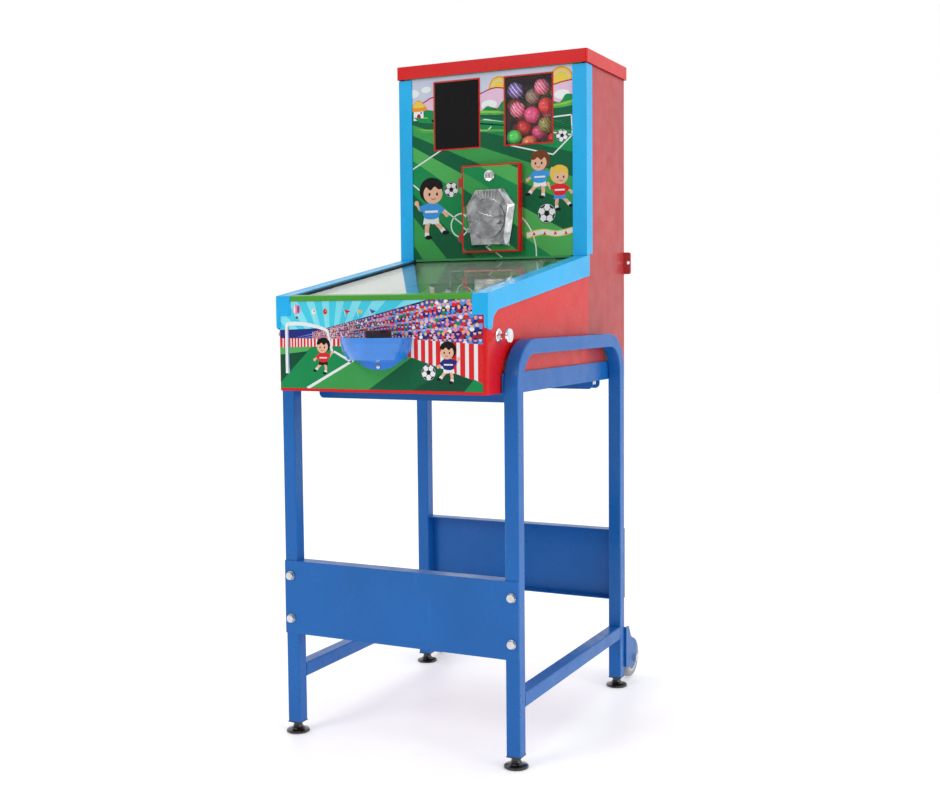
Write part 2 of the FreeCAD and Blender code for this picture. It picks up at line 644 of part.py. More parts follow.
# --- tower ---
def tower_cabinet():
    """Two folded sides, the rear frame and the floor, as sheets that meet at their edges."""
    w = CABINET_HALF
    s = SHEET
    f = TOWER_FRONT + s
    r = TOWER_REAR
    step = 862.0
    outer = [(BOX_DEPTH, CABINET_BOTTOM), (r, CABINET_BOTTOM), (r, TOWER_NECK), (f, TOWER_NECK), (f, step)]
    shell = prism_x(sharp(outer + [(BOX_DEPTH, step)]), -w, w)
    shell = cut(shell, box(s - w, w - s, 400, r - s, CABINET_BOTTOM + s, TOWER_NECK + 1))
    flange = box(s - w - 0.2, 14 - w, f, f + s, step, POST_TOP)
    brim_out = box(s - w - 0.2, w - s + 0.2, f, r - s + 0.2, TOWER_NECK - s, TOWER_NECK)
    brim = cut(brim_out, box(14 - w, w - 14, f - 1, r - 14, 1200, 1240))
    shell = fuse(shell, flange, mirror(flange), brim)
    shell = cut(shell, box(-170, 170, r - 5, r + 5, 665, 1180))
    hasp = prism_y([(w - s, HASP_Z[0], 0), (212, HASP_Z[0], 4), (212, HASP_Z[1], 4), (w - s, HASP_Z[1], 0)],
                   r - 3, r)
    shell = fuse(shell, hasp)
    hole = rod((HASP_HOLE[0], r - 9, HASP_HOLE[1]), (HASP_HOLE[0], r + 9, HASP_HOLE[1]), HASP_RADIUS)
    rear_row = bolt_rows()[1]
    shell = cut(shell, hole, cabinet_hole(CABINET_BOLT_X, rear_row), cabinet_hole(-CABINET_BOLT_X, rear_row))
    fold = fuse(box(w - s, 213, 400, 700, 600, 1240), box(w - 14.1, w - s + 0.1, 400, f + s, 600, 1240),
                box(w - 14.1, w - s + 0.1, f, r - 14, TOWER_NECK - s, 1240))
    floor = box(s - w, w - s, 400, 700, 600, CABINET_BOTTOM + s)
    rear = cut(shell, fold, mirror(fold), floor)
    return shell.common(fold), shell.common(mirror(fold)), rear, cut(shell.common(floor), fold, mirror(fold))


def corner_post():
    outer = 200.5
    front = TOWER_FRONT - 2.5
    base = sloped(TRIM_TOP, front) + 0.3
    face = box(172, outer, front, TOWER_FRONT, base, POST_TOP)
    side = box(CABINET_HALF, outer, front, 467, base, POST_TOP)
    post = fuse(face, side)
    slope = prism_x(sharp([(430, 840), (480, 840), (480, sloped(TRIM_TOP + 0.3, 480)),
                           (430, sloped(TRIM_TOP + 0.3, 430))]), 150, 210)
    return cut(post, slope)


def tower_front_panel():
    front = TOWER_FRONT
    panel = box(-190, 190, front, front + SHEET, PANEL_BOTTOM, TOWER_NECK)
    for x0, x1, z0, z1 in WINDOWS:
        panel = cut(panel, box(x0, x1, front - 1, front + 5, z0, z1))
    x0, x1, z0, z1 = DOOR_CUT
    panel = cut(panel, box(x0, x1, front - 1, front + 5, z0, z1))
    corner = box(168, 191, front - 1, front + 5, PANEL_BOTTOM - 1, 857)
    return cut(panel, corner, mirror(corner))


def window_frame(window):
    x0, x1, z0, z1 = window
    lip = 2.5
    front = TOWER_FRONT
    ring = box(x0 - lip, x1 + lip, front - 1.5, front, z0 - lip, z1 + lip)
    return cut(ring, box(x0, x1, front - 5, front + 5, z0, z1))


def window_pane(window):
    x0, x1, z0, z1 = window
    back = TOWER_FRONT + SHEET
    return box(x0 - 6, x1 + 6, back, back + 2.5, z0 - 6, z1 + 6)


def funnel_wall(rim, neck, z_rim, z_neck):
    """One mitred wall of the funnel; rim and neck each give its outer and its inner edge."""
    faces = []
    for edge_rim, edge_neck in zip(rim, neck):
        corners = [vec(*point, z_rim) for point in edge_rim]
        corners += [vec(*point, z_neck) for point in reversed(edge_neck)]
        faces.append(Part.makePolygon(corners + corners[:1]))
    return Part.makeLoft(faces, True, True)


def rectangle_edges(x0, x1, y0, y1, inset):
    """Outer and inner edge of each side of a rectangle, in order round it."""
    outer = [(x0, y0), (x1, y0), (x1, y1), (x0, y1)]
    left, right, front, back = x0 + inset, x1 - inset, y0 + inset, y1 - inset
    inner = [(left, front), (right, front), (right, back), (left, back)]
    return [((outer[i], outer[(i + 1) % 4]), (inner[i], inner[(i + 1) % 4])) for i in range(4)]


def ball_hopper():
    """Three walls behind the right window over a four-sided funnel to the dispensing wheel."""
    s = SHEET
    x0, x1, y0, y1 = BIN_PLAN
    top, knee, low = 1205.0, 1066.0, 994.0
    walls = [box(x0, x0 + s, y0, y1, knee, top), box(x1 - s, x1, y0, y1, knee, top)]
    walls.append(box(x0 + s, x1 - s, y1 - s, y1, knee, top))
    rims = rectangle_edges(x0, x1, y0, y1, s)
    necks = rectangle_edges(MECH_X - 19, MECH_X + 19, 502.0, 544.0, s)
    return walls + [funnel_wall(rim, neck, knee, low) for rim, neck in zip(rims, necks)]


def bouncy_balls():
    """The balls seen at the window, then as many more as find room behind and beside them."""
    centres = list(WINDOW_BALLS)
    x0, x1, y0, y1 = BIN_PLAN
    step = 2.7
    wall = SHEET + BALL_RADIUS + 0.3
    for row in range(37):
        z = 1084.0 + row * step
        for column in range(int((x1 - x0 - 2 * wall) / step) + 1):
            x = x0 + wall + column * step
            for layer in range(int((y1 - y0 - 16.0 - wall) / step) + 1):
                place = (x, y0 + 16.0 + layer * step, z)
                if all(math.dist(place, other) > BALL_PITCH for other in centres):
                    centres.append(place)
    return [Part.makeSphere(BALL_RADIUS, vec(*centre)) for centre in centres]


def wheel_housing():
    """Casing round the dispensing wheel, hung on a bulkhead between the tower's sides."""
    c = (MECH_X, 0, MECH_Z)
    outer = DISPENSER_RADIUS + 4
    ring = rod((c[0], 503, c[2]), (c[0], 544.5, c[2]), outer)
    ring = cut(ring, rod((c[0], 503, c[2]), (c[0], 543, c[2]), outer - 1.5))
    bulk = box(-196.4, 196.4, 501.5, 503, 872, 990)
    casing = fuse(bulk, ring)
    mouth_x = (MECH_X - 17.5, MECH_X + 17.5)
    casing = cut(casing, box(*mouth_x, 503.5, 542.5, MECH_Z, 1010), box(*mouth_x, 503.5, 542.5, 860, MECH_Z))
    casing = cut(casing, rod((c[0], 495, c[2]), (c[0], 505, c[2]), 13))
    return cut(casing, rod((c[0], 540, c[2]), (c[0], 550, c[2]), SHAFT_RADIUS + RUNNING_GAP))


def dispensing_wheel():
    """Drum with three ball pockets; its front boss has a slot for the coin shaft's tongue."""
    c = (MECH_X, 0, MECH_Z)
    drum = rod((c[0], 504.5, c[2]), (c[0], 541.5, c[2]), DISPENSER_RADIUS)
    for i in range(3):
        turn = math.radians(90 + 120 * i)
        x = c[0] + 44 * math.cos(turn)
        z = c[2] + 44 * math.sin(turn)
        drum = cut(drum, rod((x, 500, z), (x, 545, z), 17))
    boss = rod((c[0], 495.5, c[2]), (c[0], 506, c[2]), 12)
    stub = rod((c[0], 540, c[2]), (c[0], 552, c[2]), SHAFT_RADIUS)
    wheel = fuse(drum, boss, stub)
    return cut(wheel, box(c[0] - 13, c[0] + 13, 495, 500.5, c[2] - 2.4, c[2] + 2.4))


def ball_chute():
    """Tube from under the dispensing wheel down to the playfield's rear corner."""
    start = vec(MECH_X - 24, 540, 844)
    end = vec(CHUTE_X, BOX_DEPTH - 3.5, CHUTE_Z)
    tube = rod(tuple(start), tuple(end), CHUTE_BORE + 2)
    along = end - start
    along.normalize()
    bore = rod(tuple(start + along * 2), tuple(end + along * 5), CHUTE_BORE)
    tube = cut(tube, bore, box(-200, 200, 400, BOX_DEPTH - 0.5, 700, 900))
    return cut(tube, box(MECH_X - 18, MECH_X + 18, 504, 543, 846, 880), box(-100, 100, 480, 600, 862, 900))


def cash_box():
    outer = box(-95, 60, 458, 610, CABINET_BOTTOM + SHEET, 742)
    return cut(outer, box(-93.5, 58.5, 459.5, 608.5, CABINET_BOTTOM + 2 * SHEET, 750))


def coin_door():
    x0, x1, z0, z1 = DOOR
    s = SHEET
    rear = TOWER_FRONT - 0.4
    hollow = box(x0 + s, x1 - s, DOOR_FRONT + s, rear + 1, z0 + s, z1 - s)
    tray = cut(box(x0, x1, DOOR_FRONT, rear, z0, z1), hollow)
    axis_x, axis_y = DOOR_AXIS
    low = z0 + 40
    high = z1 - 40
    leaf = box(axis_x, x0 + 0.5, axis_y - 0.6, axis_y + 0.6, low, high)
    knuckle = rod((axis_x, axis_y, low), (axis_x, axis_y, high), KNUCKLE_RADIUS)
    door = fuse(tray, leaf, knuckle)
    door = cut(door, rod((axis_x, axis_y, low - 1), (axis_x, axis_y, high + 1), PIN_RADIUS + RUNNING_GAP))
    door = cut(door, rod((MECH_X, DOOR_FRONT - 5, LOCK_Z), (MECH_X, DOOR_FRONT + 5, LOCK_Z), 9))
    return cut(door, box(MECH_X - 30, MECH_X + 30, DOOR_FRONT - 1, DOOR_FRONT + 3, MECH_Z - 38, MECH_Z + 38))


def mech_outline(half_top, half_wide, half_low, top, wide, low, y):
    c = MECH_X
    corners = [(c - half_wide, wide), (c - half_top, top), (c + half_top, top), (c + half_wide, wide)]
    corners += [(c + half_low, low), (c - half_low, low), (c - half_wide, wide)]
    return Part.makePolygon([vec(x, y, z) for x, z in corners])


def coin_mechanism():
    """Faceted cover with a round dial recess and a ribbed top, on a body behind the door."""
    f = DOOR_FRONT
    base = mech_outline(31, 54, 41, 989, 957, 878, f)
    rim = mech_outline(31, 54, 41, 989, 957, 878, f - 3)
    crown = mech_outline(24, 44, 33, 986, 955, 881, f - 15)
    cover = fuse(Part.makeLoft([base, rim], True, True), Part.makeLoft([rim, crown], True, True))
    recess = rod((MECH_X, f - 20, MECH_Z), (MECH_X, f - 11, MECH_Z), DIAL_RADIUS + 1)
    window = prism_y([(MECH_X - 22, 970.5, 0), (MECH_X + 22, 970.5, 0), (MECH_X + 19, 984, 0),
                      (MECH_X - 19, 984, 0)], f - 20, f - 9)
    cover = cut(cover, recess, window)
    for i in range(6):
        x = MECH_X - 15 + 6 * i
        cover = fuse(cover, box(x - 0.9, x + 0.9, f - 13.5, f - 8, 970, 984.3))
    body = box(MECH_X - 28, MECH_X + 28, f, 480, MECH_Z - 36, MECH_Z + 36)
    bore = rod((MECH_X, f - 20, MECH_Z), (MECH_X, 490, MECH_Z), SHAFT_RADIUS + RUNNING_GAP)
    return cut(fuse(cover, body), bore)


def coin_knob():
    """Turning dial with a wavy grip bar, on the shaft that drives the dispensing wheel."""
    c = MECH_X
    z = MECH_Z
    f = DOOR_FRONT
    disc = rod((c, f - 17, z), (c, f - 11.6, z), DIAL_RADIUS)
    wave = [(c - 34, z + 6), (c - 18, z + 13), (c, z + 8.5), (c + 18, z + 3), (c + 34, z + 6)]
    top = Part.BSplineCurve()
    top.interpolate([vec(x, 0, h) for x, h in wave])
    low = Part.BSplineCurve()
    low.interpolate([vec(2 * c - x, 0, 2 * z - h) for x, h in wave])
    ends = [Part.makeLine(vec(c + 34, 0, z + 6), vec(c + 34, 0, z - 6)),
            Part.makeLine(vec(c - 34, 0, z - 6), vec(c - 34, 0, z + 6))]
    outline = Part.Wire([top.toShape(), ends[0], low.toShape(), ends[1]])
    grip = Part.Face(outline).extrude(vec(0, 16, 0))
    grip.translate(vec(0, f - 30, 0))
    grip = grip.common(rod((c, f - 40, z), (c, f - 10, z), DIAL_RADIUS - 1))
    shaft = rod((c, f - 12, z), (c, 495.2, z), SHAFT_RADIUS)
    tongue = box(c - 4.4, c + 4.4, 495, 499.8, z - 2, z + 2)
    knob = fuse(disc, grip, shaft, tongue)
    return cut(knob, rod((c + 28, f - 20, z), (c + 28, f - 14.5, z), 5))


def lock_barrel():
    f = DOOR_FRONT
    profile = [(6.05, f - 4), (9, f - 4.4), (10.6, f - 3.4), (11, f), (8.9, f), (8.9, f + 17), (6.05, f + 17)]
    return turned(profile, (MECH_X, 0, LOCK_Z), (0, 1, 0))


def lock_cam():
    """Plug with a key slot; the cam behind it swings up behind the tower's panel."""
    c = MECH_X
    f = DOOR_FRONT
    plug = rod((c, f - 3.6, LOCK_Z), (c, f + 18, LOCK_Z), 6.0)
    plug = cut(plug, box(c - 0.9, c + 0.9, f - 5, f + 4, LOCK_Z - 4, LOCK_Z + 4))
    cam = prism_y([(c - 7, LOCK_Z - 6, 4), (c + 28, LOCK_Z - 6, 2), (c + 28, LOCK_Z + 6, 2),
                   (c - 7, LOCK_Z + 6, 4)], f + 18, f + 20)
    return fuse(plug, cam)


def top_lid():
    w = CABINET_HALF + LID_OVERHANG
    y0 = TOWER_FRONT - LID_OVERHANG - 2
    y1 = TOWER_REAR + LID_OVERHANG
    s = SHEET
    block = prism_z(rounded_box(-w, w, y0, y1, 4), LID_BOTTOM, TOTAL_HEIGHT)
    hollow = prism_z(rounded_box(s - w, w - s, y0 + s, y1 - s, 2.5), LID_BOTTOM - 1, TOTAL_HEIGHT - s)
    lid = cut(block, hollow)
    axis_y, axis_z = LID_AXIS
    for x in (-130, 130):
        knuckle = rod((x - 15, axis_y, axis_z), (x + 15, axis_y, axis_z), KNUCKLE_RADIUS)
        leaf = box(x - 15, x + 15, y1 - s, y1, axis_z, LID_BOTTOM + 1)
        lid = fuse(lid, knuckle, leaf)
        lid = cut(lid, rod((x - 20, axis_y, axis_z), (x + 20, axis_y, axis_z), PIN_RADIUS + RUNNING_GAP))
    return lid


def rear_door():
    """Service door with a stiffening lip of four strips that stand inside the opening."""
    y0 = TOWER_REAR + 0.4
    y1 = y0 + SHEET
    plate = box(-187, 188, y0, y1, 648, 1194)
    strips = []
    for x in (-166, 164.5):
        strips.append(box(x, x + 1.5, y0 - 12, y0, 670, 1175))
    for z in (670, 1173.5):
        strips.append(box(-164.5, 164.5, y0 - 12, y0, z, z + 1.5))
    tab_outline = [(186, HASP_Z[0], 0), (212, HASP_Z[0], 4), (212, HASP_Z[1], 4), (186, HASP_Z[1], 0)]
    tab = prism_y(tab_outline, y0, y0 + 2)
    axis_x, axis_y = REAR_AXIS
    door = fuse(plate, tab)
    for z in (760, 1080):
        knuckle = rod((axis_x, axis_y, z - 25), (axis_x, axis_y, z + 25), KNUCKLE_RADIUS)
        door = fuse(door, knuckle, box(axis_x, -186, y1 - 0.5, y1 + 1, z - 25, z + 25))
        door = cut(door, rod((axis_x, axis_y, z - 30), (axis_x, axis_y, z + 30), PIN_RADIUS + RUNNING_GAP))
    hole = rod((HASP_HOLE[0], y0 - 5, HASP_HOLE[1]), (HASP_HOLE[0], y0 + 5, HASP_HOLE[1]), HASP_RADIUS)
    return [cut(door, hole)] + strips


def hinges():
    """Fixed leaves and pins of the coin door, lid and rear door hinges."""
    parts = []
    gap = 0.4
    ax, ay = DOOR_AXIS
    low = DOOR[2] + 40
    high = DOOR[3] - 40
    pin = rod((ax, ay, low - 18), (ax, ay, high + 18), PIN_RADIUS)
    for z0, z1 in ((low - 18, low - gap), (high + gap, high + 18)):
        knuckle = rod((ax, ay, z0), (ax, ay, z1), KNUCKLE_RADIUS)
        pin = fuse(pin, knuckle, box(ax - 12, ax, TOWER_FRONT - 1.2, TOWER_FRONT, z0, z1))
    parts.append(pin)
    ly, lz = LID_AXIS
    for x in (-130, 130):
        pin = rod((x - 28, ly, lz), (x + 28, ly, lz), PIN_RADIUS)
        for x0, x1 in ((x - 28, x - 15 - gap), (x + 15 + gap, x + 28)):
            knuckle = rod((x0, ly, lz), (x1, ly, lz), KNUCKLE_RADIUS)
            leaf = fuse(box(x0, x1, TOWER_REAR, ly, lz - 1.2, lz),
                        box(x0, x1, TOWER_REAR, TOWER_REAR + 1.2, lz - 12, lz))
            pin = fuse(pin, knuckle, leaf)
        parts.append(pin)
    rx, ry = REAR_AXIS
    for z in (760, 1080):
        pin = rod((rx, ry, z - 38), (rx, ry, z + 38), PIN_RADIUS)
        for z0, z1 in ((z - 38, z - 25 - gap), (z + 25 + gap, z + 38)):
            knuckle = rod((rx, ry, z0), (rx, ry, z1), KNUCKLE_RADIUS)
            pin = fuse(pin, knuckle, box(rx - 0.6, rx + 0.6, TOWER_REAR, ry, z0, z1))
        parts.append(pin)
    return parts


# --- write every node ---
def write_pair(node, shape):
    """A right-hand piece and its mirror image, as two nodes."""
    save(node + "_right", shape)
    save(node + "_left", mirror(shape))


def save_pair_as_group(node, shape):
    save(node, shape, mirror(shape))


def main():
    os.makedirs("parts", exist_ok=True)
    write_pair("side_frame", side_frame())
    save_pair_as_group("lower_side_rails", lower_side_rail())
    save("stand_front_panel", stand_panel(FRONT_PANEL_Z, LEG_FRONT, 1))
    save("stand_rear_panel", stand_panel(REAR_PANEL_Z, LEG_REAR, -1))
    save_pair_as_group("support_angles", support_angle())
    save("cross_channels", *[cross_channel(y) for y in CHANNEL_Y])
    save("bolts_and_screws", *bolts_and_screws())
    leg_x = FRAME_OUT - TUBE / 2
    leg_y = {"front": LEG_FRONT + TUBE / 2, "rear": LEG_REAR - TUBE / 2}
    save("leg_end_caps", *[end_cap(x, y) for x in (-leg_x, leg_x) for y in leg_y.values()])
    for place, y in leg_y.items():
        save("foot_" + place + "_left", levelling_foot(-leg_x, y))
        save("foot_" + place + "_right", levelling_foot(leg_x, y))
    save_pair_as_group("wheel_brackets", wheel_bracket())
    save_pair_as_group("wheel_axles", wheel_axle())
    write_pair("wheel_hub", wheel_hub())
    write_pair("tyre", tyre())

    save("playfield_cabinet", playfield_cabinet())
    write_pair("side_trim", side_trim())
    save("lock_bar", lock_bar())
    save("playfield_glass", playfield_glass())
    save_pair_as_group("glass_gasket", glass_gasket())
    save("playfield_board", playfield_board())
    save("playfield_guides", *playfield_guides())
    save("goal_frame", goal_frame())
    save("ball_cup", ball_cup())
    save("exit_chute", exit_chute())
    write_pair("flipper", flipper())
    write_pair("flipper_crank", flipper_crank())
    write_pair("flipper_button", flipper_button())
    save_pair_as_group("button_bezels", button_bezel())
    write_pair("button_spring", button_spring())
    save_pair_as_group("rod_guides", rod_guide())

    save("tower_cabinet", *tower_cabinet())
    save_pair_as_group("corner_posts", corner_post())
    save("tower_front_panel", tower_front_panel())
    save("window_frames", *[window_frame(w) for w in WINDOWS])
    save("window_pane_left", window_pane(WINDOWS[0]))
    save("window_pane_right", window_pane(WINDOWS[1]))
    save("ball_hopper", *ball_hopper())
    save("bouncy_balls", *bouncy_balls())
    save("wheel_housing", wheel_housing())
    save("dispensing_wheel", dispensing_wheel())
    save("ball_chute", ball_chute())
    save("cash_box", cash_box())
    save("coin_door", coin_door())
    save("coin_mechanism", coin_mechanism())
    save("coin_knob", coin_knob())
    save("lock_barrel", lock_barrel())
    save("lock_cam", lock_cam())
    save("top_lid", top_lid())
    save("rear_door", *rear_door())
    save("hinges", *hinges())


main()
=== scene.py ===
import json
import math
import random

import bmesh
import bpy
from mathutils import Matrix, Vector


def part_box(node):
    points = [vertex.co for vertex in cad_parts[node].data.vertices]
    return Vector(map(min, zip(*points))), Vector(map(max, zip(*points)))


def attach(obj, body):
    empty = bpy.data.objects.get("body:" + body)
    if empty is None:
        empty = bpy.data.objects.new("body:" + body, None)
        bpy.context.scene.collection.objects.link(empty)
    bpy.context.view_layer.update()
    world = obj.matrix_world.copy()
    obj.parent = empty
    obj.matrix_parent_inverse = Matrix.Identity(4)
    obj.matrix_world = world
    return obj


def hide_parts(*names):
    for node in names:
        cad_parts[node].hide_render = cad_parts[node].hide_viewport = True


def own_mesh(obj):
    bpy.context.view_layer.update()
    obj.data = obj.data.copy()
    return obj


# Ball-vending flipper machine: materials, printed films, net, balls and springs round the CAD frame.
# Lengths in helper calls are millimetres unless a name says otherwise; MM turns them into metres.
MM = 0.001
ORIGIN_Y = 299.25             # the cabinet's front face lies this far in front of the frame's origin
SLOPE = 0.1677                # rise of the playfield per unit of depth
BOARD_TOP = 734.0
TOWER_FRONT = 440.0
DOOR_FRONT = 425.0
WINDOW_FRAME = 2.6            # face width of the frames round both windows
FILM = 0.12                   # height of a printed film over its panel
INK_STEP = 0.03               # height of one printed layer over the one below it
INK_DEPTH = 0.8               # the films' solids reach into the sheet they stick to

# flippers, about each shaft on the playfield
FLIPPER_X = 72.0
FLIPPER_Y = 54.7
FLIPPER_REST = 25.0           # droop of the resting bat in degrees
BAT_LENGTH = 52.0             # from the shaft to the centre of the tip
BAT_HEEL = 8.6                # the rubber's inner radius at the shaft
BAT_TIP = 5.6                 # and at the tip

# button springs along X, between the rod guide and the collar on the rod
SPRING_FIXED = 110.0
SPRING_FREE = 148.0
SPRING_TURNS = 8.0
SPRING_WIRE = 1.2

BALL_RADIUS = 15.6

# goal net
NET_CORD = 0.7
NET_COLUMNS = 21
NET_ROWS = 8
NET_SAG = 2.2

# coin door: the mechanism's axis and the lock above it
MECHANISM_X = 5.3
MECHANISM_HALF = 29.0         # half the width of the hole behind the mechanism
LOCK_Z = 1014.0
LOCK_HALF = 8.8

# the viewer's place from the cabinet's front face, angles in degrees and lens
EYE = (1047.0, -1789.3, 757.0)
YAW, PITCH, ROLL = 26.183, -3.88, -0.528
SENSOR = 36.0
LENS = 47.9834

# square lamps: name, place in metres, side in metres and watts; all are turned to the same point
LAMPS = (("key", (-1.6, -3.4, 3.0), 1.4, 42.0), ("side", (3.6, -0.6, 2.0), 2.2, 26.0))
LIT = (0, 0, 0.7)

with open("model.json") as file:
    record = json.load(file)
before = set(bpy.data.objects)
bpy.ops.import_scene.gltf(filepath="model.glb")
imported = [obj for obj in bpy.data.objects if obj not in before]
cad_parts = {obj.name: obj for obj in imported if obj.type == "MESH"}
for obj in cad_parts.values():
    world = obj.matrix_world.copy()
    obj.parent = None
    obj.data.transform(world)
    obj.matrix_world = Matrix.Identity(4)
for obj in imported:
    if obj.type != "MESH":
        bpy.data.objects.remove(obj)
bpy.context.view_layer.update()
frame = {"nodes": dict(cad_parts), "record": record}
NODES = frame["nodes"]


# --- node trees ---
class Look:
    """One material built round its Principled shader, in the frame's metres."""

    def __init__(self, name, colour, roughness, metallic=0.0):
        self.material = bpy.data.materials.new(name)
        self.material.use_nodes = True
        self.tree = self.material.node_tree
        self.shader = next(n for n in self.tree.nodes if n.type == "BSDF_PRINCIPLED")
        self.place = self.tree.nodes.new("ShaderNodeTexCoord").outputs["Object"]
        self.set("Base Color", (*colour, 1.0))
        self.set("Roughness", roughness)
        self.set("Metallic", metallic)

    def set(self, socket, value):
        self.shader.inputs[socket].default_value = value

    def node(self, kind, **settings):
        made = self.tree.nodes.new(kind)
        for key, value in settings.items():
            setattr(made, key, value)
        return made

    def link(self, source, target):
        self.tree.links.new(source, target)

    def stretched(self, scale, turn=(0, 0, 0)):
        """The object's place, scaled along each axis."""
        mapping = self.node("ShaderNodeMapping")
        mapping.inputs["Scale"].default_value = scale
        mapping.inputs["Rotation"].default_value = turn
        self.link(self.place, mapping.inputs["Vector"])
        return mapping.outputs["Vector"]

    def noise(self, scale, detail=3.0, place=None, distortion=0.0):
        made = self.node("ShaderNodeTexNoise")
        made.inputs["Scale"].default_value = scale
        made.inputs["Detail"].default_value = detail
        made.inputs["Distortion"].default_value = distortion
        self.link(place or self.place, made.inputs["Vector"])
        return made.outputs["Fac"]

    def cells(self, scale, output="Distance"):
        made = self.node("ShaderNodeTexVoronoi")
        made.inputs["Scale"].default_value = scale
        self.link(self.place, made.inputs["Vector"])
        return made.outputs[output]

    def waves(self, scale, distortion, detail_scale, place):
        made = self.node("ShaderNodeTexWave")
        made.inputs["Scale"].default_value = scale
        made.inputs["Distortion"].default_value = distortion
        made.inputs["Detail Scale"].default_value = detail_scale
        self.link(place, made.inputs["Vector"])
        return made.outputs["Fac"]

    def ramp(self, fac, *stops):
        made = self.node("ShaderNodeValToRGB")
        elements = made.color_ramp.elements
        while len(elements) < len(stops):
            elements.new(0.5)
        for element, (position, value) in zip(elements, stops):
            element.position = position
            element.color = value if len(value) == 4 else (*value, 1.0)
        self.link(fac, made.inputs["Fac"])
        return made.outputs["Color"]

    def span(self, fac, low, high, source=(0.0, 1.0)):
        """Maps fac from the source range to low and high."""
        made = self.node("ShaderNodeMapRange")
        for socket, value in zip(("From Min", "From Max", "To Min", "To Max"), (*source, low, high)):
            made.inputs[socket].default_value = value
        self.link(fac, made.inputs["Value"])
        return made.outputs["Result"]

    def mix(self, fac, first, second):
        """Blends two colours; each may be an output or a plain colour."""
        made = self.node("ShaderNodeMix", data_type="RGBA")
        sockets = [s for s in made.inputs if s.type == "RGBA"]
        for socket, value in zip(sockets, (first, second)):
            if isinstance(value, bpy.types.NodeSocket):
                self.link(value, socket)
            else:
                socket.default_value = value if len(value) == 4 else (*value, 1.0)
        factor = made.inputs[0]
        if isinstance(fac, bpy.types.NodeSocket):
            self.link(fac, factor)
        else:
            factor.default_value = fac
        return next(s for s in made.outputs if s.type == "RGBA")

    def bump(self, height, strength, depth_mm):
        made = self.node("ShaderNodeBump")
        made.inputs["Strength"].default_value = strength
        made.inputs["Distance"].default_value = depth_mm * MM
        self.link(height, made.inputs["Height"])
        previous = self.shader.inputs["Normal"].links
        if previous:
            self.link(previous[0].from_socket, made.inputs["Normal"])
        self.link(made.outputs["Normal"], self.shader.inputs["Normal"])

    def paint(self, colour):
        self.link(colour, self.shader.inputs["Base Color"])

    def dull(self, fac, low, high, source=(0.3, 0.7)):
        self.link(self.span(fac, low, high, source), self.shader.inputs["Roughness"])


def shade(colour, factor):
    """The colour made lighter or darker."""
    return tuple(min(1.0, c * factor) for c in colour)


def powder_coat(name, colour, roughness=0.3):
    """Oven-cured gloss paint: orange-peel bump, faint clouding, hairline scuffs."""
    look = Look(name, colour, roughness)
    clouds = look.ramp(look.noise(7.0, 4.0), (0.3, shade(colour, 0.92)), (0.7, shade(colour, 1.06)))
    scuffs = look.noise(90.0, 6.0, look.stretched((1.0, 1.0, 0.08)))
    marked = look.mix(look.span(scuffs, 0.0, 0.5, (0.68, 0.8)), clouds, shade(colour, 1.5))
    look.paint(marked)
    look.dull(look.noise(30.0, 3.0), roughness - 0.06, roughness + 0.1)
    look.bump(look.noise(650.0, 1.0), 0.05, 0.25)
    look.set("Specular IOR Level", 0.25)
    look.set("Coat Weight", 0.08)
    look.set("Coat Roughness", 0.1)
    return look.material


def chrome(name):
    """Polished plating with finger smudges."""
    look = Look(name, (0.80, 0.81, 0.83), 0.09, 1.0)
    smudge = look.noise(60.0, 5.0)
    look.paint(look.ramp(smudge, (0.3, (0.70, 0.71, 0.73)), (0.7, (0.86, 0.87, 0.89))))
    look.dull(smudge, 0.05, 0.2)
    look.bump(look.noise(260.0, 2.0), 0.03, 0.2)
    return look.material


def cast_chrome(name):
    """Plated die casting: softly uneven faces, with painted shade darkening the hollows of the unevenness."""
    look = Look(name, (0.72, 0.73, 0.75), 0.16, 1.0)
    bumps_and_painted_shade = look.noise(48.0, 4.0, distortion=0.6)
    # painted shade: the colour is darker where the bump below is low
    look.paint(look.ramp(bumps_and_painted_shade, (0.35, (0.36, 0.37, 0.38)), (0.65, (0.80, 0.81, 0.82))))
    look.dull(bumps_and_painted_shade, 0.08, 0.2)
    look.bump(bumps_and_painted_shade, 0.12, 0.8)
    look.bump(look.noise(420.0, 2.0), 0.04, 0.2)
    return look.material


def steel(name, tone=0.62):
    """Zinc-plated hardware with fine turning marks."""
    look = Look(name, (tone, tone, tone * 1.02), 0.32, 1.0)
    grain = look.noise(900.0, 2.0, look.stretched((0.15, 0.15, 1.0)))
    patches = look.noise(70.0, 3.0)
    worn = (tone * 0.8, tone * 0.79, tone * 0.76)
    bright = (tone, tone, tone * 1.04)
    look.paint(look.ramp(patches, (0.3, worn), (0.7, bright)))
    look.dull(grain, 0.22, 0.42)
    look.bump(grain, 0.08, 0.1)
    return look.material


def galvanised(name):
    """Hot-dip sheet with its crystal spangle."""
    look = Look(name, (0.55, 0.57, 0.59), 0.4, 1.0)
    crystal = look.cells(70.0, output="Color")
    tone = look.ramp(crystal, (0.1, (0.42, 0.44, 0.46)), (0.9, (0.68, 0.70, 0.72)))
    look.paint(tone)
    look.dull(crystal, 0.28, 0.5, (0.0, 1.0))
    look.bump(look.noise(300.0, 2.0), 0.06, 0.2)
    return look.material


def moulded(name, colour, roughness=0.35, grain=0.06, coat=0.0):
    """Injection-moulded plastic: fine grain, faint flow marks."""
    look = Look(name, colour, roughness)
    flow = look.noise(16.0, 3.0, distortion=1.2)
    look.paint(look.ramp(flow, (0.3, shade(colour, 0.88)), (0.7, shade(colour, 1.08))))
    look.dull(look.noise(45.0, 2.0), roughness - 0.05, roughness + 0.1)
    look.bump(look.noise(800.0, 2.0), grain, 0.2)
    look.set("Coat Weight", coat)
    look.set("Coat Roughness", 0.06)
    return look.material


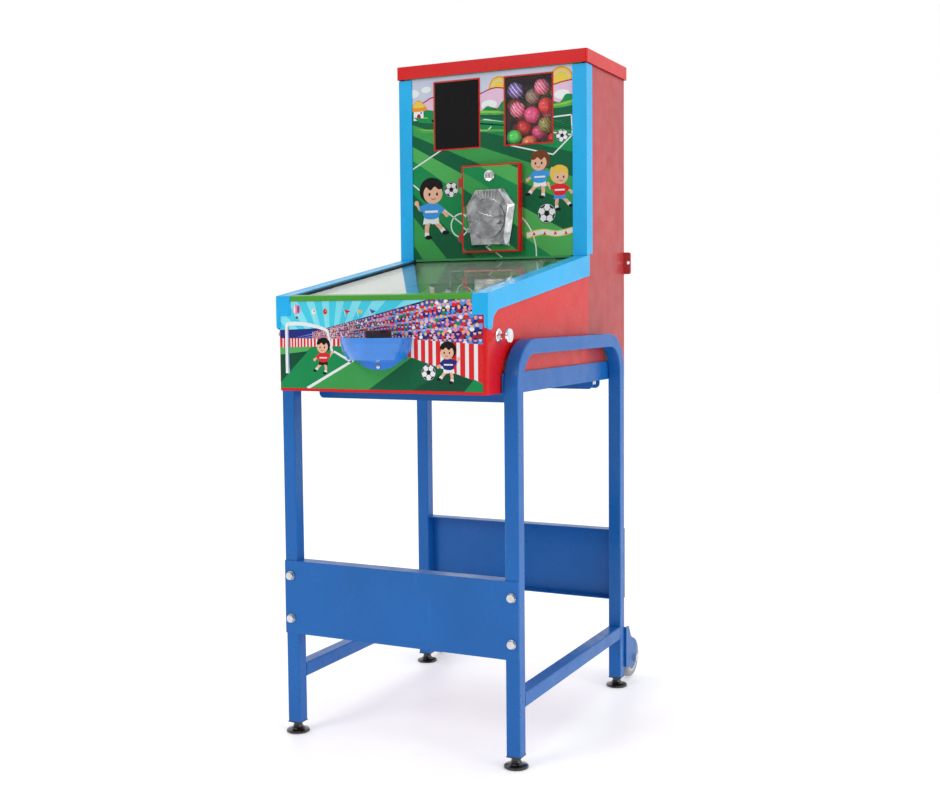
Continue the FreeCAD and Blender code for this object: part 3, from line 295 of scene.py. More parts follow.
def rubber(name, colour, roughness=0.62):
    """Dull rubber with dust in its grain."""
    look = Look(name, colour, roughness)
    dust = look.noise(40.0, 5.0)
    look.paint(look.ramp(dust, (0.35, colour), (0.75, tuple(c * 0.9 + 0.05 for c in colour))))
    look.dull(dust, roughness - 0.08, roughness + 0.15)
    look.bump(look.noise(500.0, 3.0), 0.15, 0.3)
    return look.material


def thin_pane(name, tint, most):
    """Clear sheet: light passes straight through, and more of it is mirrored at a low angle."""
    look = Look(name, tint, 0.02, 1.0)
    smears = look.noise(14.0, 4.0, look.stretched((1.0, 0.25, 1.0)))
    look.dull(smears, 0.01, 0.05, (0.45, 0.75))
    look.paint(look.ramp(smears, (0.3, tint), (0.8, shade(tint, 0.96))))
    facing = look.node("ShaderNodeLayerWeight")
    facing.inputs["Blend"].default_value = 0.5
    grazing = look.node("ShaderNodeMath", operation="POWER")
    grazing.inputs[1].default_value = 5.0
    look.link(facing.outputs["Facing"], grazing.inputs[0])
    look.link(look.span(grazing.outputs["Value"], 0.04, most), look.shader.inputs["Alpha"])
    return look.material


def dark_pane(name, tint):
    """Opaque, nearly black acrylic with a polished face: painted shade standing in for the unlit space behind
    the window.
    """
    look = Look(name, tint, 0.05)
    smears = look.noise(14.0, 4.0)
    look.dull(smears, 0.03, 0.09, (0.45, 0.75))
    look.paint(look.ramp(smears, (0.3, tint), (0.8, shade(tint, 1.4))))
    look.set("Specular IOR Level", 0.25)
    return look.material


def varnished_board(name):
    """Playfield plywood under a printed mowing pattern and varnish."""
    look = Look(name, (0.05, 0.32, 0.09), 0.2)
    rows = look.waves(5.2, 0.0, 1.0, look.stretched((1.0, 1.0, 1.0), (0, 0, math.pi / 2)))
    mown = look.ramp(rows, (0.49, (0.03, 0.25, 0.06)), (0.51, (0.09, 0.42, 0.10)))
    speck = look.noise(420.0, 3.0)
    look.paint(look.mix(look.span(speck, 0.0, 0.25, (0.4, 0.7)), mown, (0.14, 0.48, 0.12)))
    look.dull(look.noise(25.0, 3.0), 0.14, 0.28)
    look.set("Coat Weight", 0.6)
    look.bump(speck, 0.03, 0.1)
    return look.material


INKS = {}


def ink(colour):
    """Printed, laminated colour with a fine dot grain; one material for each colour."""
    if colour not in INKS:
        look = Look("ink_%02d" % len(INKS), colour, 0.3)
        dots = look.cells(1400.0)
        drift = look.noise(12.0, 2.0)
        toned = look.ramp(drift, (0.3, shade(colour, 0.94)), (0.7, shade(colour, 1.05)))
        look.paint(look.mix(look.span(dots, 0.0, 0.12, (0.2, 0.7)), toned, shade(colour, 0.8)))
        look.dull(look.noise(40.0, 3.0), 0.24, 0.4)
        look.bump(look.noise(200.0, 1.0), 0.03, 0.15)
        look.set("Specular IOR Level", 0.15)
        look.set("Coat Weight", 0.05)
        look.set("Coat Roughness", 0.12)
        INKS[colour] = look.material
    return INKS[colour]


# colours in linear light
SKY = (0.06, 0.62, 0.80)
SKY_LIGHT = (0.22, 0.76, 0.87)
NAVY = (0.02, 0.025, 0.20)
VIOLET = (0.06, 0.09, 0.42)
LILAC = (0.20, 0.30, 0.68)
PINK = (0.78, 0.25, 0.36)
ROSE = (0.74, 0.50, 0.66)
RED = (0.70, 0.02, 0.025)
CRIMSON = (0.42, 0.01, 0.02)
WHITE = (0.80, 0.81, 0.82)
MIST = (0.56, 0.60, 0.74)
YELLOW = (0.78, 0.58, 0.08)
ORANGE = (0.78, 0.28, 0.03)
GRASS_DEEP = (0.003, 0.075, 0.035)
GRASS_DARK = (0.004, 0.115, 0.045)
GRASS = (0.008, 0.25, 0.075)
GRASS_LIGHT = (0.045, 0.33, 0.075)
GRASS_PALE = (0.08, 0.42, 0.10)
LIME = (0.27, 0.56, 0.07)
SKIN = (0.78, 0.46, 0.31)
HAIR_DARK = (0.008, 0.006, 0.006)
HAIR_BROWN = (0.18, 0.05, 0.015)
HAIR_GOLD = (0.78, 0.50, 0.07)
KIT_BLUE = (0.05, 0.30, 0.72)
BLACK = (0.008, 0.008, 0.01)


# --- flat outlines, in millimetres ---
def disc(x, z, radius, tall=1.0, first=0.0, last=360.0):
    """Circle or arc in degrees; tall stretches it upwards."""
    count = max(10, int(8 + radius * 1.2))
    points = []
    for i in range(count if last - first >= 360 else count + 1):
        angle = math.radians(first + (last - first) * i / count)
        points.append((x + radius * math.cos(angle), z + radius * tall * math.sin(angle)))
    return points


def spline(points, closed=False, steps=6):
    """Smooth curve through the points."""
    count = len(points)
    result = []
    for i in range(count if closed else count - 1):
        places = [i + k for k in (-1, 0, 1, 2)]
        near = [points[k % count] if closed else points[min(max(k, 0), count - 1)] for k in places]
        for s in range(steps):
            t = s / steps
            weights = (-t + 2 * t * t - t ** 3, 2 - 5 * t * t + 3 * t ** 3,
                       t + 4 * t * t - 3 * t ** 3, t ** 3 - t * t)
            result.append(tuple(sum(w * p[axis] for w, p in zip(weights, near)) / 2 for axis in (0, 1)))
    return result if closed else result + [points[-1]]


def stroke(points, width, end_width=None):
    """Ribbon of a given width along a line of points."""
    left = []
    right = []
    last = len(points) - 1
    for i, point in enumerate(points):
        before = points[max(i - 1, 0)]
        after = points[min(i + 1, last)]
        du = after[0] - before[0]
        dv = after[1] - before[1]
        length = math.hypot(du, dv)
        half = (width + ((end_width or width) - width) * i / last) / 2
        left.append((point[0] - dv / length * half, point[1] + du / length * half))
        right.append((point[0] + dv / length * half, point[1] - du / length * half))
    return left + right[::-1]


def rectangle(x0, x1, z0, z1):
    return [(x0, z0), (x1, z0), (x1, z1), (x0, z1)]


class Film:
    """A printed film on one flat panel: thin solid shapes stacked in layers, cut to the panel's openings."""

    def __init__(self, name, origin, up=(0, 0, 1)):
        self.name = name
        self.origin = Vector(origin) * MM - Vector((0, ORIGIN_Y, 0)) * MM
        self.right = Vector((1, 0, 0))
        self.up = Vector(up).normalized()
        self.out = self.right.cross(self.up)
        self.mesh = bmesh.new()
        self.inks = []

    def vert(self, u, v, layer):
        lift = self.out * (FILM + layer * INK_STEP) * MM
        return self.mesh.verts.new(self.origin + (self.right * u + self.up * v) * MM + lift)

    def index(self, colour):
        if colour not in self.inks:
            self.inks.append(colour)
        return self.inks.index(colour)

    def shape(self, colour, points, layer):
        area = sum(a[0] * b[1] - b[0] * a[1] for a, b in zip(points, points[1:] + points[:1]))
        if area < 0:
            points = points[::-1]
        face = self.mesh.faces.new([self.vert(u, v, layer) for u, v in points])
        face.material_index = self.index(colour)

    def band(self, colour, points, width, layer, closed=False):
        """Strip of even width along a curve."""
        count = len(points)
        rungs = []
        for i, (u, v) in enumerate(points):
            before = points[i - 1] if i or closed else points[0]
            after = points[(i + 1) % count] if i + 1 < count or closed else points[-1]
            du, dv = after[0] - before[0], after[1] - before[1]
            half = width / 2 / math.hypot(du, dv)
            ends = ((u + dv * half, v - du * half), (u - dv * half, v + du * half))
            rungs.append([self.vert(a, b, layer) for a, b in ends])
        for first, second in zip(rungs, rungs[1:] + (rungs[:1] if closed else [])):
            face = self.mesh.faces.new((first[0], second[0], second[1], first[1]))
            face.normal_update()
            if face.normal.dot(self.out) < 0:
                face.normal_flip()
            face.material_index = self.index(colour)

    def ring(self, colour, x, z, radius, width, layer, first=0.0, last=360.0):
        self.band(colour, disc(x, z, radius, 1.0, first, last), width, layer, last - first >= 360)

    def across(self, point):
        local = (point - self.origin) / MM
        return local.dot(self.right), local.dot(self.up)

    def slice(self, x0, x1, z0, z1):
        for axis, value in ((self.right, x0), (self.right, x1), (self.up, z0), (self.up, z1)):
            geometry = self.mesh.verts[:] + self.mesh.edges[:] + self.mesh.faces[:]
            place = self.origin + axis * value * MM
            bmesh.ops.bisect_plane(self.mesh, geom=geometry, plane_co=place, plane_no=axis)

    def drop(self, inside, x0, x1, z0, z1):
        """Deletes the faces inside the rectangle, or those outside it."""
        gone = []
        for face in self.mesh.faces:
            u, v = self.across(face.calc_center_median())
            if (x0 < u < x1 and z0 < v < z1) == inside:
                gone.append(face)
        bmesh.ops.delete(self.mesh, geom=gone, context="FACES")

    def finish(self, limits, openings, body):
        bmesh.ops.triangulate(self.mesh, faces=self.mesh.faces[:], ngon_method="EAR_CLIP")
        self.slice(*limits)
        self.drop(False, *limits)
        for opening in openings:
            self.slice(*opening)
            self.drop(True, *opening)
        bmesh.ops.dissolve_degenerate(self.mesh, dist=1e-7, edges=self.mesh.edges[:])
        piece = mesh_piece(self.name, self.mesh, body, [ink(c) for c in self.inks])
        solid = piece.modifiers.new("thickness", "SOLIDIFY")
        solid.thickness = INK_DEPTH * MM
        solid.offset = -1.0


def mesh_piece(name, mesh, body, materials):
    data = bpy.data.meshes.new(name)
    mesh.to_mesh(data)
    mesh.free()
    for material in materials:
        data.materials.append(material)
    piece = bpy.data.objects.new(name, data)
    bpy.context.scene.collection.objects.link(piece)
    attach(piece, body)
    return piece


# --- printed figures ---
def football(film, x, z, radius, layer, turn=20.0):
    film.shape(BLACK, disc(x, z, radius), layer)
    film.shape(WHITE, disc(x, z, radius * 0.94), layer + 1)
    centre = [(x + radius * 0.34 * math.cos(math.radians(turn + 72 * i)),
               z + radius * 0.34 * math.sin(math.radians(turn + 72 * i))) for i in range(5)]
    film.shape(BLACK, centre, layer + 2)
    for i, corner in enumerate(centre):
        angle = math.radians(turn + 72 * i)
        rim = [(x + radius * r * math.cos(angle + a), z + radius * r * math.sin(angle + a))
               for r, a in ((0.66, 0.0), (0.8, 0.34), (0.93, 0.3), (0.93, -0.3), (0.8, -0.34))]
        film.shape(BLACK, rim, layer + 2)
        film.shape(BLACK, stroke([corner, rim[0]], radius * 0.06), layer + 2)


def player(film, x, z, height, kit, shorts, hair, layer, kick=1.0, lean=0.0):
    """Plain round-headed figure: hair cap, shirt, shorts, bare arms and legs, boots."""
    h = height

    def at(u, v):
        return x + (u * kick + lean * v) * h, z + v * h

    legs = (((-0.05, 0.32), (-0.08, 0.18), (-0.07, 0.05)), ((0.05, 0.32), (0.15, 0.22), (0.24, 0.12)))
    arms = (((-0.12, 0.53), (-0.22, 0.5), (-0.28, 0.6)), ((0.12, 0.53), (0.21, 0.45), (0.28, 0.4)))
    for hip, knee, foot in legs:
        film.shape(SKIN, stroke([at(*hip), at(*knee), at(*foot)], 0.085 * h, 0.07 * h), layer)
        toe = at(foot[0] + 0.03, foot[1] - 0.015)
        film.shape(BLACK, disc(*toe, 0.065 * h, 0.55), layer + 1)
        shin = at((knee[0] + foot[0]) / 2, (knee[1] + foot[1]) / 2)
        film.shape(WHITE, stroke([shin, at(*foot)], 0.082 * h), layer + 1)
    for shoulder, elbow, hand in arms:
        film.shape(SKIN, stroke([at(*shoulder), at(*elbow), at(*hand)], 0.06 * h, 0.05 * h), layer)
        film.shape(SKIN, disc(*at(*hand), 0.042 * h), layer + 0.5)
        film.shape(kit, stroke([at(*shoulder), at(*elbow)], 0.095 * h), layer + 1.5)
    film.shape(shorts, [at(-0.13, 0.38), at(0.13, 0.38), at(0.15, 0.26), at(0.02, 0.25), at(-0.02, 0.27),
                        at(-0.15, 0.25)], layer + 2)
    film.shape(kit, spline([at(-0.12, 0.35), at(0.12, 0.35), at(0.16, 0.54), at(0.05, 0.6), at(-0.05, 0.6),
                            at(-0.16, 0.54)], True, 3), layer + 3)
    film.shape(WHITE, stroke([at(-0.12, 0.455), at(0.12, 0.455)], 0.035 * h), layer + 4)
    film.shape(hair, disc(*at(-0.015, 0.80), 0.215 * h, 0.96), layer + 4)
    film.shape(SKIN, disc(*at(0.02, 0.745), 0.175 * h, 0.93), layer + 5)
    fringe = [at(-0.19, 0.80), at(-0.12, 0.86), at(-0.03, 0.80), at(0.05, 0.86), at(0.12, 0.81),
              at(0.20, 0.84)]
    film.shape(hair, spline(fringe + [at(0.15, 0.95), at(0.0, 1.0), at(-0.15, 0.95)], True, 4), layer + 6)
    for side in (-0.045, 0.095):
        film.shape(BLACK, disc(*at(side, 0.735), 0.02 * h, 1.4), layer + 6)
    film.shape(CRIMSON, stroke([at(-0.01, 0.665), at(0.03, 0.652), at(0.07, 0.665)], 0.014 * h), layer + 6)


# --- films ---
def sky_rays(film, x, z, reach, layer):
    """Pale sunbeams that fan out from one point."""
    for i in range(0, 24, 2):
        first = math.radians(7.5 * i)
        last = math.radians(7.5 * (i + 1))
        tips = [(x + reach * math.cos(a), z + reach * math.sin(a)) for a in (first, last)]
        film.shape(SKY_LIGHT, [(x, z)] + tips, layer)


def crowd(film, layer):
    """Seated rows that fan out from the far corner, with a few hundred plain heads."""
    rng = random.Random(11)
    origin_x, origin_z, right = -188.0, 706.0, 191.0
    edges = (795.0, 783.0, 771.0, 759.0, 748.0, 736.0, 724.0, 712.0, 702.0)
    tones = (VIOLET, LILAC, NAVY, LILAC, VIOLET, LILAC, NAVY, VIOLET)
    for row, (top, low) in enumerate(zip(edges, edges[1:])):
        rise = (top - origin_z) / (right - origin_x)
        fall = (low - origin_z) / (right - origin_x)
        film.shape(tones[row], [(origin_x, origin_z), (right, low), (right, top)], layer)
        film.shape(NAVY, stroke([(origin_x, origin_z), (right, top)], 0.4, 2.6), layer + 1)
        x = origin_x + 60.0
        while x < right - 2:
            depth = x - origin_x
            size = 0.9 + depth * 0.0105
            z = origin_z + depth * (fall + (rise - fall) * rng.uniform(0.35, 0.6))
            shirt = rng.choice((PINK, RED, CRIMSON, WHITE, NAVY, KIT_BLUE, ROSE, VIOLET, GRASS))
            film.shape(shirt, disc(x, z - size * 0.9, size * 0.95, 0.8), layer + 2)
            film.shape(rng.choice((SKIN, ROSE, PINK)), disc(x, z + size * 0.35, size * 0.62), layer + 3)
            film.shape(rng.choice((HAIR_DARK, HAIR_BROWN, RED, HAIR_GOLD)),
                       disc(x, z + size * 0.55, size * 0.64, 1.0, 0.0, 180.0), layer + 4)
            x += size * rng.uniform(1.7, 2.5)


def boards(film, layer):
    """Red and white striped boards along the pitch."""
    top = [(-195, 710.0), (62, 708.7), (191, 701.0)]
    low = [(-195, 694.0), (-75, 697.0), (62, 679.0), (191, 638.3)]
    film.shape(RED, top + low[::-1], layer)

    def height(line, x):
        for (xa, za), (xb, zb) in zip(line, line[1:]):
            if xa <= x <= xb:
                return za + (zb - za) * (x - xa) / (xb - xa)
        return line[-1][1]

    x = -190.0
    width = 2.2
    while x + width < 191:
        edge = [(x, height(top, x)), (x + width, height(top, x + width))]
        foot = [(x, height(low, x)), (x + width, height(low, x + width))]
        film.shape(WHITE, edge + foot[::-1], layer + 1)
        x += width * 2.4
        width = 2.2 + max(0.0, x + 190) * 0.0125


def front_film():
    film = Film("front_print", (0, 0, 0))
    film.shape(SKY, rectangle(-195, 191, 625, 775), 0)
    sky_rays(film, -95, 662, 320, 1)
    film.shape(NAVY, [(-195, 724), (-100, 727.6), (93, 772), (191, 795), (191, 690), (-195, 690)], 2)
    crowd(film, 3)
    boards(film, 8)
    film.shape(GRASS_DEEP, [(-195, 694), (-75, 697), (62, 679), (191, 638.3), (191, 625), (-195, 625)], 10)
    film.shape(GRASS_PALE, [(-195, 694), (-131, 695.3), (-140, 688), (-195, 682)], 11)
    film.shape(GRASS, [(-195, 634.5), (-131, 695.3), (-75, 697), (62, 679), (-20, 625), (-195, 625)], 11)
    film.shape(GRASS_LIGHT, [(-139, 625), (-57, 668.8), (30, 683), (62, 679), (-20, 625)], 12)
    film.shape(GRASS_DARK, [(-20, 625), (62, 678), (125, 659), (62, 625)], 12)
    film.shape(GRASS, [(157, 625), (175, 645), (191, 638), (191, 625)], 12)
    for line in ([(-141, 625), (-60, 667.5), (-48, 673.5)], [(-52, 671), (-87, 688.2)]):
        film.shape(WHITE, stroke(line, 5.0, 3.4), 13)
    bar = spline([(-180.5, 728), (-176, 734.5), (-140, 733.5), (-104, 725), (-98, 718)], False, 5)
    goal = [(-180.5, 650)] + bar
    film.shape(WHITE, stroke(goal + [(-89.5, 685)], 7.5, 4.5), 14)
    film.shape(LILAC, stroke([(p[0] + 2.2, p[1]) for p in goal[:3]], 1.6), 15)
    player(film, -108, 649, 62, RED, BLACK, HAIR_DARK, 14, -1.0)
    player(film, 131, 637, 68, NAVY, WHITE, HAIR_DARK, 14, -1.0, -0.05)
    football(film, 93, 655, 13.5, 14)
    balloon = disc(-160, 759, 8.5, 0.95)
    film.shape(PINK, balloon, 3)
    for offset, tone in ((-4.5, WHITE), (3.0, VIOLET)):
        film.shape(tone, disc(-160 + offset, 759, 2.0, 3.6), 4)
    film.shape(HAIR_BROWN, rectangle(-162.5, -157.5, 743, 747), 4)
    for offset in (-4, 4):
        film.shape(WHITE, stroke([(-160 + offset, 752), (-160 + offset / 2, 747)], 0.8), 4)
    for x, tone in ((-126, WHITE), (-103, RED)):
        film.shape(tone, disc(x, 755, 4.2, 1.15), 3)
        film.shape(ORANGE, disc(x + 1.2, 756, 1.8), 4)
        film.shape(WHITE, stroke(spline([(x, 750), (x + 1.5, 745), (x, 738)]), 0.7), 3)
    for x, tone in ((-59, RED), (-34, YELLOW), (-10, VIOLET)):
        film.shape(tone, [(x - 7, 759), (x + 6, 755), (x - 2, 751)], 3)
        film.shape(WHITE, stroke([(x - 7, 759), (x - 4, 746)], 0.9), 3)
    slot = (-25.2, 25.2, 685.8, 723.2)
    film.finish((-194.8, 190.8, 625, 772.6), [slot], "machine")


def mown_stripes(film, x, z, tones, layer, slopes):
    """Bands of a mown pitch that fan out from one far point."""
    reach = 700.0
    for i, (upper, lower) in enumerate(zip(slopes, slopes[1:])):
        ends = [(x + reach, z + s * reach) for s in (upper, lower)]
        film.shape(tones[i % len(tones)], [(x, z)] + ends[::-1], layer)


def cottage(film, x, z, layer):
    film.shape(WHITE, [(x - 12, z), (x + 11, z), (x + 10, z + 22), (x - 11, z + 22)], layer)
    film.shape(ORANGE, spline([(x - 19, z + 19), (x + 18, z + 19), (x + 9, z + 33), (x - 1, z + 40),
                               (x - 11, z + 33)], True, 4), layer + 1)
    film.shape(YELLOW, spline([(x - 14, z + 26), (x + 13, z + 26), (x - 1, z + 38)], True, 4), layer + 2)
    film.shape(CRIMSON, disc(x, z + 6, 4.5, 1.5), layer + 1)
    film.shape(KIT_BLUE, disc(x + 5.5, z + 14.5, 2.4), layer + 1)
    film.shape(LIME, disc(x + 15, z + 1, 7.0, 0.6), layer + 2)


def tower_film():
    film = Film("tower_print", (0, TOWER_FRONT, 0))
    film.shape(MIST, rectangle(-190, 190, 1100, 1234), 0)
    for x, z, radius in ((19, 1184, 21), (148, 1187, 25)):
        film.shape(ORANGE, disc(x, z, radius), 1)
        film.shape(YELLOW, disc(x, z, radius - 2.5), 2)
        film.shape(MIST, disc(x, z, radius - 7), 3)
        film.shape(YELLOW, disc(x, z, radius - 8.5), 4)
    ridge = spline([(-190, 1160), (-150, 1166), (-120, 1176), (-60, 1163), (-23, 1174), (6, 1183), (31, 1181),
                    (70, 1172), (105, 1187), (131, 1180), (150, 1183), (190, 1188)])
    film.shape(ROSE, ridge + [(190, 1100), (-190, 1100)], 5)
    film.shape(CRIMSON, stroke(ridge, 2.4), 6)
    for x, z, radius in ((-2, 1152, 17), (55, 1160, 20), (150, 1160, 16), (-172, 1186, 16), (-140, 1192, 11)):
        film.shape(WHITE, disc(x, z, radius, 0.55), 6)
    bushes = [(-190, 1118), (-172, 1140), (-152, 1128), (-135, 1144), (-118, 1122), (-60, 1126), (-30, 1131),
              (-6, 1150), (12, 1141), (31, 1158), (60, 1140), (100, 1148), (128, 1150), (146, 1145),
              (160, 1160), (190, 1152)]
    film.shape(GRASS, spline(bushes) + [(190, 1090), (-190, 1090)], 7)
    crest = spline([(-190, 1117), (-172, 1117), (-124, 1112), (-60, 1136), (-23, 1142), (30, 1139),
                    (130, 1142), (190, 1152)])
    film.shape(LIME, crest + [(190, 1090), (-190, 1090)], 8)
    film.shape(GRASS_PALE, [(p[0], p[1] - 4.5) for p in crest] + [(190, 1090), (-190, 1090)], 9)
    turf = spline([(-190, 1106), (-172, 1104), (-124, 1103), (-60, 1128), (-23, 1134), (30, 1131),
                   (130, 1134), (190, 1140)])
    field = turf + [(190, 853), (-190, 853)]
    film.shape(GRASS_DARK, field, 10)
    mown_stripes(film, -400, 1205, (GRASS, GRASS_DARK, GRASS_LIGHT, GRASS_DARK, GRASS_PALE, GRASS), 11,
                 (-0.2, -0.27, -0.35, -0.44, -0.54, -0.66, -0.79, -0.95, -1.15, -1.4, -1.75, -2.3))
    cottage(film, -157, 1133, 13)
    lines = ([(-190, 1028), (-107, 1071.5)],
             [(-190, 1020), (-61, 923), (33, 849)],
             [(-23, 1119), (-12, 1124.5), (34, 1115)],
             [(33, 1073.7), (131.7, 1048.5), (170.7, 1082.6), (120, 1092)],
             [(128, 1118.6), (169, 1120.3), (170.7, 1083)])
    for line in lines:
        for start, end in zip(line, line[1:]):
            film.shape(WHITE, stroke([start, end], 2.6), 12)
    film.ring(WHITE, -64, 922, 23, 2.6, 12)
    film.ring(WHITE, -2, 862, 98, 2.4, 12, -6, 46)
    film.ring(WHITE, -14, 1122, 20, 2.2, 12, 195, 330)
    player(film, -133, 896, 122, KIT_BLUE, WHITE, HAIR_DARK, 13, 1.0, 0.04)
    football(film, -86, 993, 15.5, 13)
    player(film, 104, 966, 92, KIT_BLUE, WHITE, HAIR_BROWN, 13, -1.0)
    player(film, 145, 942, 86, RED, KIT_BLUE, HAIR_GOLD, 20, 1.0)
    football(film, 118, 938, 19, 13, 50.0)
    football(film, 150, 1083, 12.5, 13, 5.0)
    ribbon = spline([(76, 897), (108, 903), (140, 899), (172, 905)], False, 6)
    film.shape(YELLOW, stroke(ribbon, 12.0), 13)
    film.shape(WHITE, stroke(ribbon, 8.0), 14)
    for i in range(4):
        x = 88 + 22 * i
        film.shape(RED, [(x, 897), (x + 7, 897.6), (x + 3, 904.5)], 15)
    windows = [(-121.1, -23.9, 1072.9, 1203.1), (31.9, 130.1, 1072.9, 1201.1)]
    door = (-50.1, 62.1, 872.9, 1030.1)
    frames = [(x0 - WINDOW_FRAME, x1 + WINDOW_FRAME, z0 - WINDOW_FRAME, z1 + WINDOW_FRAME)
              for x0, x1, z0, z1 in windows]
    film.finish((-171.8, 171.8, 857.2, 1214.5), frames + [door], "machine")


def door_film():
    film = Film("coin_door_print", (0, DOOR_FRONT, 0))
    film.shape(GRASS, rectangle(-60, 70, 860, 1040), 0)
    mown_stripes(film, -400, 1225, (GRASS_LIGHT, GRASS_DARK, GRASS_PALE, GRASS, GRASS_LIGHT, GRASS_DARK), 1,
                 (-0.3, -0.36, -0.43, -0.5, -0.58, -0.67, -0.77, -0.88, -1.0))
    film.shape(WHITE, stroke([(-61, 923), (33, 849)], 2.6), 2)
    film.ring(WHITE, -64, 922, 23, 2.6, 2)
    holes = [(MECHANISM_X - LOCK_HALF, MECHANISM_X + LOCK_HALF, LOCK_Z - LOCK_HALF, LOCK_Z + LOCK_HALF),
             (MECHANISM_X - MECHANISM_HALF, MECHANISM_X + MECHANISM_HALF, 880, 984)]
    film.finish((-52.5, 64, 870, 1033), holes, "coin_door")


def board_film():
    """Pitch markings on the playfield, along its slope."""
    lean = math.hypot(1.0, SLOPE)
    film = Film("playfield_print", (0, 0, BOARD_TOP), (0, 1, SLOPE))
    box = [(-52, 440), (-52, 330), (62, 330), (62, 440)]
    area = [(-95, 440), (-95, 280), (105, 280), (105, 440)]
    for line in (box, area, [(-165, 200), (165, 200)]):
        for start, end in zip(line, line[1:]):
            film.shape(WHITE, stroke([(start[0], start[1] * lean), (end[0], end[1] * lean)], 3.0), 1)
    film.ring(WHITE, 0, 200 * lean, 48, 3.0, 1)
    film.shape(WHITE, disc(0, 200 * lean, 4.0), 1)
    film.shape(RED, stroke([(-160, 150), (-110, 112)], 9.0), 1)
    film.shape(RED, stroke([(160, 150), (110, 112)], 9.0), 1)
    for x in (-120, 120):
        film.shape(YELLOW, disc(x, 250, 14), 1)
        film.shape(RED, disc(x, 250, 9), 2)
        film.shape(WHITE, disc(x, 250, 4), 3)
    film.finish((-166, 166, 80, 442 * lean), [], "machine")


# --- playfield details ---
def line_piece(name, lines, thickness_mm, body, material):
    """Round cords along straight lines of points in metres."""
    data = bpy.data.curves.new(name, "CURVE")
    data.dimensions = "3D"
    data.bevel_depth = thickness_mm * MM / 2
    data.bevel_resolution = 1
    data.use_fill_caps = True
    for line in lines:
        run = data.splines.new("POLY")
        run.points.add(len(line) - 1)
        for point, place in zip(run.points, line):
            point.co = (*place, 1.0)
    data.materials.append(material)
    piece = bpy.data.objects.new(name, data)
    bpy.context.scene.collection.objects.link(piece)
    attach(piece, body)
    return piece


def goal_net():
    """Knotless netting from the goal's crossbar down to its rear bar, and over both sides."""
    low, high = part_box("goal_frame")
    inset = Vector((0.0025, 0.0025, 0.0025))
    left, right = low.x + inset.x, high.x - inset.x
    front, back = low.y + inset.y, high.y - inset.y * 0.7
    top = high.z - inset.z
    base = (BOARD_TOP + SLOPE * (back / MM + ORIGIN_Y)) * MM + inset.z * 0.7
    lines = []
    for i in range(NET_COLUMNS + 1):
        x = left + (right - left) * i / NET_COLUMNS
        sag = NET_SAG * MM * math.sin(math.pi * i / NET_COLUMNS)
        lines.append([Vector((x, front, top)), Vector((x, (front + back) / 2, (top + base) / 2 - sag)),
                      Vector((x, back, base))])
    for row in range(1, NET_ROWS):
        t = row / NET_ROWS
        sag = NET_SAG * MM * math.sin(math.pi * t)
        line = []
        for i in range(NET_COLUMNS + 1):
            x = left + (right - left) * i / NET_COLUMNS
            drop = sag * math.sin(math.pi * i / NET_COLUMNS)
            line.append(Vector((x, front + (back - front) * t, top + (base - top) * t - drop)))
        lines.append(line)
        floor = (BOARD_TOP + SLOPE * ((front + (back - front) * t) / MM + ORIGIN_Y)) * MM
        for x in (left, right):
            lines.append([Vector((x, front + (back - front) * t, top + (base - top) * t)),
                          Vector((x, front + (back - front) * t, floor))])
            lines.append([Vector((x, front, top + (base - top) * t)),
                          Vector((x, front + (back - front) * t, top + (base - top) * t))])
    cord = moulded("net_cord", (0.82, 0.83, 0.80), 0.6)
    line_piece("goal_net", lines, NET_CORD, "machine", cord)


def flipper_band(side):
    """Rubber ring stretched round the bat, between its two ends."""
    sign = 1 if side == "right" else -1
    tilt = math.atan(SLOPE)
    pivot = Vector((sign * FLIPPER_X, FLIPPER_Y - ORIGIN_Y, BOARD_TOP + SLOPE * FLIPPER_Y)) * MM
    turn = math.radians(FLIPPER_REST) * sign
    mesh = bmesh.new()
    outline = []
    for centre, radius, first, last in ((0.0, BAT_HEEL, -90, 90), (-BAT_LENGTH, BAT_TIP, 90, 270)):
        for i in range(13):
            angle = math.radians(first + (last - first) * i / 12)
            outline.append((sign * (centre + radius * math.cos(angle)), radius * math.sin(angle)))
    section = ((0.0, 5.6), (1.3, 6.2), (1.7, 8.5), (1.3, 10.8), (0.0, 11.4))
    rings = []
    for grow, height in section:
        loop = []
        for x, y in outline:
            nearest = 0 if abs(x) < BAT_LENGTH / 2 else -BAT_LENGTH * sign
            away = Vector((x - nearest, y, 0)).normalized()
            local = Vector((x, y, 0)) + away * grow
            local = Matrix.Rotation(turn, 3, "Z") @ local + Vector((0, 0, height))
            local = Matrix.Rotation(tilt, 3, "X") @ local
            loop.append(mesh.verts.new(pivot + local * MM))
        rings.append(loop)
    for first, second in zip(rings, rings[1:] + rings[:1]):
        for i in range(len(first)):
            j = (i + 1) % len(first)
            mesh.faces.new((first[i], first[j], second[j], second[i]))
    bmesh.ops.recalc_face_normals(mesh, faces=mesh.faces[:])
    piece = mesh_piece("flipper_rubber_" + side, mesh, side + "_flipper",
                       [rubber("flipper_rubber", (0.62, 0.03, 0.03), 0.5)])
    for face in piece.data.polygons:
        face.use_smooth = True


